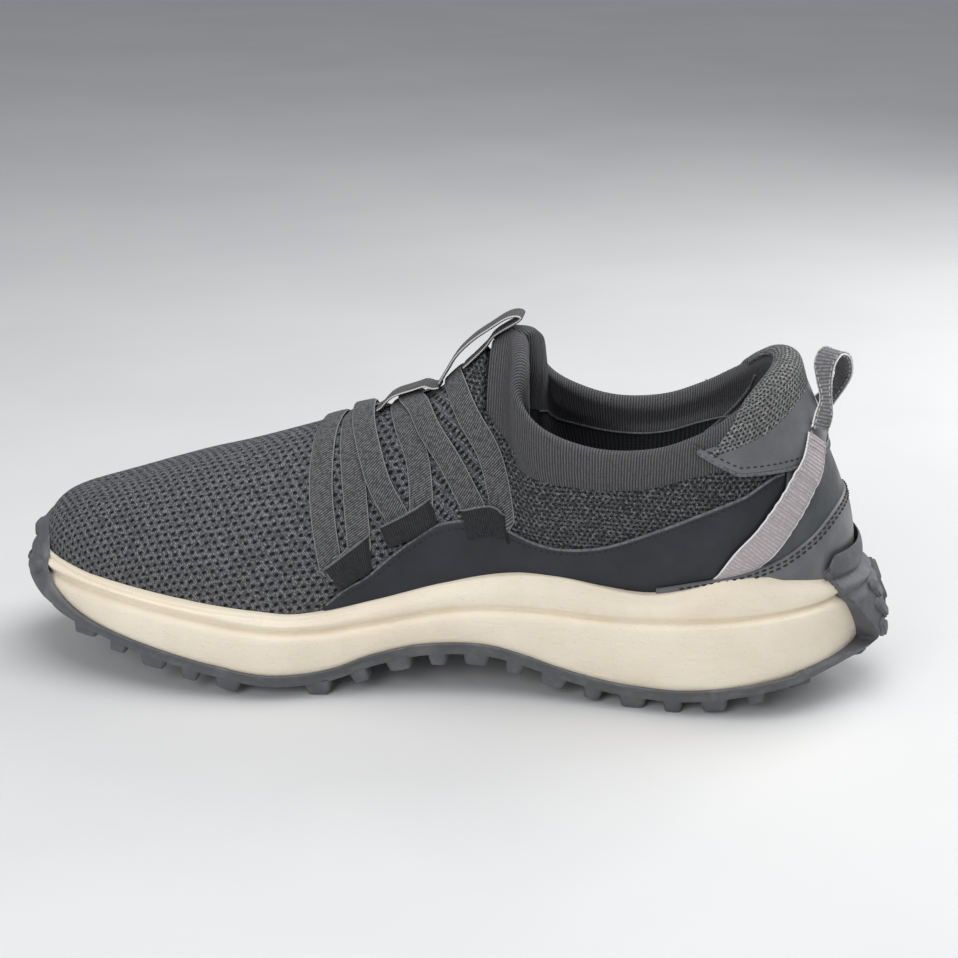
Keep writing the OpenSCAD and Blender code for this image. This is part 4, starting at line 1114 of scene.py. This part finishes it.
def lace_keepers(side, turn):
    """Three tapes that hold the lace's turns down, each with a cord along its upper edge."""
    build, cords = Build(), Build()
    a = np.linspace(0, 1, 25)[:, None]
    b = np.linspace(0, 1, 15)[None]
    for corners in KEEPERS:
        front_top, back_top, back_low, front_low = [np.array(c) for c in corners]
        low = lerp(front_low, back_low, a[..., None])
        spot = lerp(low, lerp(front_top, back_top, a[..., None]), b[..., None])
        w, v = turn(spot[..., 0]), spot[..., 1]
        v = v if side == "medial" else v[::-1]
        lift = 1.0 + 1.8 * smooth(np.minimum(a, 1 - a) / 0.1) * smooth((b + 0.12) / 0.26)
        outer = surf(w, v, lift)
        build.shell(outer, surf(w, v, 0.2 + 0 * lift), mapped(outer))
        cord_line(cords, on_face(w[:, -1], v[:, -1], lift[:, -1])[0], 0.4)
    build.done(f"lace_keepers_{side}_tape", "keeper_tape", TAPE, replaces=[f"lace_keepers_{side}"])
    cords.done(f"lace_keepers_{side}_edge", "keeper_tape", EDGE)


# ---- sole ----
def foam_side(w):
    """Side of the foam: [row, column, (height, offset)], from its lower edge to the rim."""
    x, a = foot_x(w), along(w)
    e, g, r, width = edge_z(x), knot(GROOVE, x), knot(RIM, x), knot(WALL, x)
    lip = np.maximum(width - 4.4 - 2 * smooth(a - 19.5), face_off(w, r) + 1.4)
    rows = [(e, width - 3), (e + 3, width - 0.6), (lerp(e, g, 0.5), width), (g - 3, width - 0.4),
            (g - 1.3, width - 1.5), (g - 0.3, width - 3), (g + 0.3, width - 3.1), (g + 1.1, width - 2.1),
            (g + 2.4, width - 1.5), (lerp(g, r, 0.6), lerp(width - 1.5, lip, 0.35) + 0.5),
            (r - 1.5, lip + 0.6), (r - 0.3, lip + 0.1), (r, lip - 0.5)]
    return curve(np.array([[z + 0 * x, o + 0 * x] for z, o in rows]).transpose(0, 2, 1), 4)


def under_rows(w, inset, shares, drop=0.0):
    """Rows of the underside from the sole's middle line to its edge."""
    mid, q = spine(w), at_off(w, knot(WALL, foot_x(w)) - inset, 0)
    t = np.asarray(shares)[:, None]
    x, y = lerp(mid[:, 0], q[:, 0], t), lerp(mid[:, 1], q[:, 1], t)
    return np.stack([x, y, edge_z(x) - drop], -1).transpose(1, 0, 2)


def sole_columns():
    return np.concatenate([np.arange(0, 18, 0.2), np.arange(18, 20, 0.1), np.arange(20, 26, 0.0625),
                           np.arange(26, 28, 0.1), np.arange(28, 46.05, 0.2)])


def midsole():
    w = sole_columns()
    side = foam_side(w)
    shares = np.linspace(0, 0.85, 7)
    walls = np.stack([at_off(w, side[j, :, 1], side[j, :, 0]) for j in range(len(side))], 1)
    outer = np.concatenate([under_rows(w, 3, shares), walls], 1)
    nj, foot, mid = outer.shape[1], section(w)[1], spine(w)
    flat = 12
    t = np.linspace(0, 1, flat, endpoint=False)[:, None]
    x, y = lerp(mid[:, 0], foot[:, 0], t), lerp(mid[:, 1], foot[:, 1], t)
    bed = np.stack([x, y, knot(FLOOR, x) - 2.2], -1).transpose(1, 0, 2)
    rim = knot(RIM, foot_x(w))
    cup = []
    for k in range(nj - flat):
        z = lerp(foot[:, 2], rim, max(k - 1, 0) / (nj - flat - 2))
        cup.append(at_off(w, face_off(w, z) + 0.3, z - (2.2 if k == 0 else 0)))
    inner = np.concatenate([bed, np.stack(cup, 1)], 1)
    shell = Build().shell(outer, inner, mapped(outer), wrap=True, low_fold=True)
    shell.done("midsole_foam", "midsole_foam", FOAM, None, sharp=60,
               replaces=["midsole_forefoot", "midsole_heel"])


def rubber_top(w):
    """Top of the rubber: low along the sides, high at the toe and the heel."""
    a, low = along(w), edge_z(foot_x(w)) + 3
    top = lerp(50, low, smooth(a / TOE_RUBBER))
    return np.where(a >= HEEL_RUBBER, lerp(low, 54, smooth(a - HEEL_RUBBER)), top)


def rubber_in(w, z):
    """Inner face of the rubber: bridging the foam's groove, and above the rim on the upper."""
    side, x, a = foam_side(w), foot_x(w), along(w)
    edge, groove, rim, width = edge_z(x), knot(GROOVE, x), knot(RIM, x), knot(WALL, x)
    lip = side[-4, :, 1]
    foam = np.stack([np.maximum(
        np.interp(z[:, i], side[:, i, 0], side[:, i, 1]),
        np.interp(z[:, i], [edge[i] + 3, groove[i] - 2, rim[i]], [width[i] - 0.6, width[i] - 0.2, lip[i]]))
        for i in range(len(w))], 1)
    foam = np.where(z < edge + 3, np.minimum(foam, width - 3 + (z - edge) * 0.8), foam)
    upper = np.stack([face_off(w, row) for row in z]) + np.where(a > 20, 3, 0.3)
    off = lerp(foam, np.where(a > 20, np.maximum(foam, upper), upper), smooth((z - rim + 1) / 1.6))
    ends = np.maximum(1 - smooth((a - 3) / 1.5), smooth((a - 18.5) / 1.5)) * smooth((z - edge) / 2)
    tuck = smooth((z - rubber_top(w) + 5) / 4) * smooth((z - rim - 1) / 2)
    off = off - np.where(a < 10, 1.3, 0) * ends * tuck
    return off + lerp(BOND, 0.95, ends)


def rubber_thick(w, z):
    """Thickness of the rubber, which bulges at the back of the heel."""
    back = 1.4 + 5.3 * np.exp(-((z - 24) / 14) ** 2)
    return np.where(along(w) > 20, lerp(1.4, back, smooth((along(w) - 20.8) / 1.6)), 1.3)


def rubber_shown(w, z):
    """1 where the rubber shows at the heel, 0 where the flared foam covers it."""
    a = along(w)
    border = 48 - 21 * np.clip(a - 20.9, 0, 3)
    low = 1 - smooth((z - edge_z(foot_x(w)) - 3) / 1.2)
    return np.where(a < HEEL_RUBBER, 1, np.maximum(smooth((z - border) / 2.5 + 0.5), low))


def rubber_outer(w, z):
    return rubber_in(w, z) + rubber_thick(w, z)


def rubber_sheet(build):
    w = sole_columns()
    t = np.linspace(0, 1, 49)[:, None]
    z = lerp(edge_z(foot_x(w)), rubber_top(w), t)
    rise = np.sqrt(np.clip(1 - (np.clip((t - 0.85) / 0.15, 0, 1)) ** 2, 0.05, 1))
    low = 1 - smooth(t / 0.1)
    inner_off = rubber_in(w, z)
    outer_off = inner_off + rubber_thick(w, z) * rise * (1 - 0.4 * low)
    buried = 5 * (1 - rubber_shown(w, z))
    outer_off = outer_off - buried * rubber_thick(w, z) / 1.4 * (1 - low)
    inner_off = np.minimum(inner_off - buried, outer_off - 0.3)
    shares = np.linspace(0, 0.85, 7)
    inside = np.stack([at_off(w, inner_off[j], z[j] - BOND * low[j]) for j in range(len(t))], 1)
    outside = np.stack([at_off(w, outer_off[j], z[j] - (SHEET_T + BOND) * low[j]) for j in range(len(t))], 1)
    outer = np.concatenate([under_rows(w, 3, shares, SHEET_T + BOND), outside], 1)
    inner = np.concatenate([under_rows(w, 3, shares, BOND), inside], 1)
    build.shell(outer, inner, mapped(outer), wrap=True, low_fold=True)


def block(build, place, ahead, across, out, size, height):
    """Moulded block with round corners and a chamfered face, standing out from place."""
    a = np.linspace(0, 2 * math.pi, 16, endpoint=False)
    c, s = np.cos(a), np.sin(a)
    outline = np.stack([np.sign(way) * np.abs(way) ** 0.45 for way in (c, s)], 1) / 2 * np.array(size)
    levels = [(-0.6, 1.12), (0.4, 1.08), (height - 0.8, 0.9), (height - 0.2, 0.86), (height, 0.76)]
    rings = [place + out * up + share * (outline[:, :1] * ahead + outline[:, 1:] * across)
             for up, share in levels]
    grid = np.array(rings)
    grid[..., 2] = np.maximum(grid[..., 2], 0)
    build.rings(grid, np.zeros((len(levels), len(a) + 1, 2)))


def on_rubber(w, z):
    """Point on the rubber's outer face, and the directions round it, up it and out of it."""
    def spot(w, z):
        w = np.array([w])
        return at_off(w, rubber_outer(w, np.array([[z]]))[0], z)[0]
    p = spot(w, z)
    round_it, up = spot(w + 0.05, z) - p, spot(w, z + 0.5) - p
    round_it, up = round_it / np.linalg.norm(round_it), up / np.linalg.norm(up)
    return p, round_it, up, np.cross(round_it, up)


def rubber_blocks(build):
    """Small blocks up the toe, and slanted bars across the back of the heel."""
    for w, z, size in ((0.0, 42, (9, 6)), (0.0, 31, (10, 6)), (1.7, 36, (8, 5)), (-1.7, 36, (8, 5))):
        p, round_it, up, out = on_rubber(w % TURNS, z)
        block(build, p, round_it, up, out, size, 2.1)
    for z, length in ((37.5, 8.5), (31, 9.5), (24, 8.5), (14.5, 7.5)):
        for w, lean in ((22.45, 1), (TURNS - 22.45, -1)):
            p, round_it, up, out = on_rubber(w, z)
            ahead = round_it * 0.68 * lean - up * 0.74
            block(build, p, ahead, np.cross(out, ahead), out, (length, 3.8), 1.5)


def lug(build, x, y, size):
    """Ground lug, square to the slope of the outsole."""
    slope = float(edge_z(np.array(x + 2.0)) - edge_z(np.array(x - 2.0))) / 4
    tilt = math.atan(slope)
    place = np.array([x, y, float(edge_z(np.array(x))) - SHEET_T - BOND])
    ahead = np.array([math.cos(tilt), 0, math.sin(tilt)])
    down = np.array([math.sin(tilt), 0, -math.cos(tilt)])
    block(build, place, ahead, np.array([0, 1.0, 0]), down, size, LUG_H)


def side_edge(x, side):
    w = w_at(x)
    w = np.array([w if side > 0 else TURNS - w])
    return float(at_off(w, knot(WALL, foot_x(w)) - 3, 0)[0, 1])


def lug_rows(build, x0, x1):
    """Lugs along both edges, long and short by turns, with blocks between them further in."""
    n = int((x1 - x0) / LUG_PITCH)
    for i in range(n + 1):
        x = x0 + (i + 0.5) * (x1 - x0) / (n + 1)
        for side in (-1, 1):
            edge = side_edge(x, side)
            lug(build, x, edge - side * 3.4, [9 if i % 2 == 0 else 6.4, 7.6])
            if i % 2 == 0:
                lug(build, x + LUG_PITCH / 2, edge * 0.42, [8, 9])


def outsole():
    build = Build()
    rubber_sheet(build)
    lug_rows(build, 62, 128)
    lug_rows(build, -128, 46)
    rubber_blocks(build)
    build.done("outsole_rubber_whole", "outsole_rubber", RUBBER, None, sharp=40,
               replaces=["outsole_forefoot", "outsole_heel"])


def footbed():
    """Removable insole with a slightly cupped edge."""
    w = np.arange(0, TURNS + 0.01, 0.25)
    mid, foot = spine(w), section(w)
    inset = lining_out(w, 0) + LINING_T + 0.8
    q = foot[1] - foot[0] * inset[:, None]
    t = np.concatenate([np.linspace(0, 0.9, 10), [0.94, 0.97, 0.99, 1.0]])[:, None]
    x, y = lerp(mid[:, 0], q[:, 0], t), lerp(mid[:, 1], q[:, 1], t)
    cup = 1.6 * smooth((t - 0.7) / 0.3) - 0.9 * smooth((t - 0.96) / 0.04)
    top = np.stack([x, y, knot(FLOOR, x) + FOOTBED_T + cup], -1).transpose(1, 0, 2)
    low = np.stack([x, y, knot(FLOOR, x) + BOND + 0 * t], -1).transpose(1, 0, 2)
    flat = np.stack([top[..., 0], top[..., 1]], -1)
    shell = Build().shell(low, top, flat, wrap=True, low_fold=True)
    shell.done("footbed_covered", "footbed_fabric", BED, None,
               replaces=["footbed_forefoot", "footbed_heel"])


def build_shoe():
    upper_layer("knit_upper", "knit", KNIT, lambda w, u: 0 * u, KNIT_T,
                ["toe_box_knit", "vamp_flex_zone", "quarter_knit"], second=(QUARTER, behind_lace))
    upper_layer("upper_lining", "lining", LINING, lining_out, LINING_T, ["toe_lining", "quarter_lining"], 32)
    collar_band()
    heel_collar_knit()
    both_sides(saddle)
    heel_panel()
    heel_foxing()
    heel_collar_patch()
    both_sides(heel_strap)
    heel_pull_loop()
    vamp_strip()
    front_pull_tab()
    elastic_lace()
    both_sides(lace_keepers)
    midsole()
    outsole()
    footbed()
    hidden = {"strobel_board_forefoot": BOARD, "strobel_board_heel": BOARD, "toe_puff": STIFF,
              "heel_counter": STIFF, "collar_padding": PAD}
    for node, finish in hidden.items():
        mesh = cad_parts[node].data
        mesh.materials.clear()
        mesh.materials.append(finish)


# ---- floor, lights and camera ----
def floor():
    mesh = bpy.data.meshes.new("floor")
    corners = [(-FLOOR_HALF, -FLOOR_HALF), (FLOOR_HALF, -FLOOR_HALF), (FLOOR_HALF, FLOOR_HALF),
               (-FLOOR_HALF, FLOOR_HALF)]
    mesh.from_pydata([(x, y, 0) for x, y in corners], [], [(0, 1, 2, 3)])
    mesh.materials.append(floor_finish())
    piece = bpy.data.objects.new("floor", mesh)
    bpy.context.scene.collection.objects.link(piece)


def area_light(name, place, target, size, watts):
    data = bpy.data.lights.new(name, "AREA")
    data.shape, data.size, data.size_y = "RECTANGLE", size[0], size[1]
    data.energy = watts
    light = bpy.data.objects.new(name, data)
    bpy.context.scene.collection.objects.link(light)
    light.location = place
    light.rotation_euler = (Vector(target) - Vector(place)).to_track_quat("-Z", "Y").to_euler()


def studio():
    world = bpy.data.worlds.new("studio")
    bpy.context.scene.world = world
    world.use_nodes = True
    sky = world.node_tree.nodes["Background"]
    sky.inputs["Color"].default_value = (0.9, 0.93, 1.0, 1)
    sky.inputs["Strength"].default_value = 0.3
    area_light("top", (-0.15, 0.1, 0.95), (0, 0, 0.05), (0.9, 0.7), 5.8)
    area_light("front", (0.35, 0.85, 0.5), (0, 0, 0.06), (0.6, 0.5), 3.3)
    area_light("back", (-0.6, -0.5, 0.5), (-0.05, 0, 0.08), (0.5, 0.5), 3.6)
    bpy.context.scene.view_settings.view_transform = "Standard"


def camera():
    """Medial side, 20 degrees up and 9 degrees towards the heel."""
    data = bpy.data.cameras.new("camera")
    data.sensor_width, data.lens = 36.0, 71.4
    view = bpy.data.objects.new("camera", data)
    bpy.context.scene.collection.objects.link(view)
    up, turn, away = math.radians(20), math.radians(9), 0.657
    target = Vector((-0.010, 0, 0.066))
    back = Vector((-math.sin(turn) * math.cos(up), math.cos(turn) * math.cos(up), math.sin(up)))
    view.location = target + back * away
    view.rotation_euler = back.to_track_quat("Z", "Y").to_euler()
    bpy.context.scene.camera = view


build_shoe()
floor()
studio()
camera()
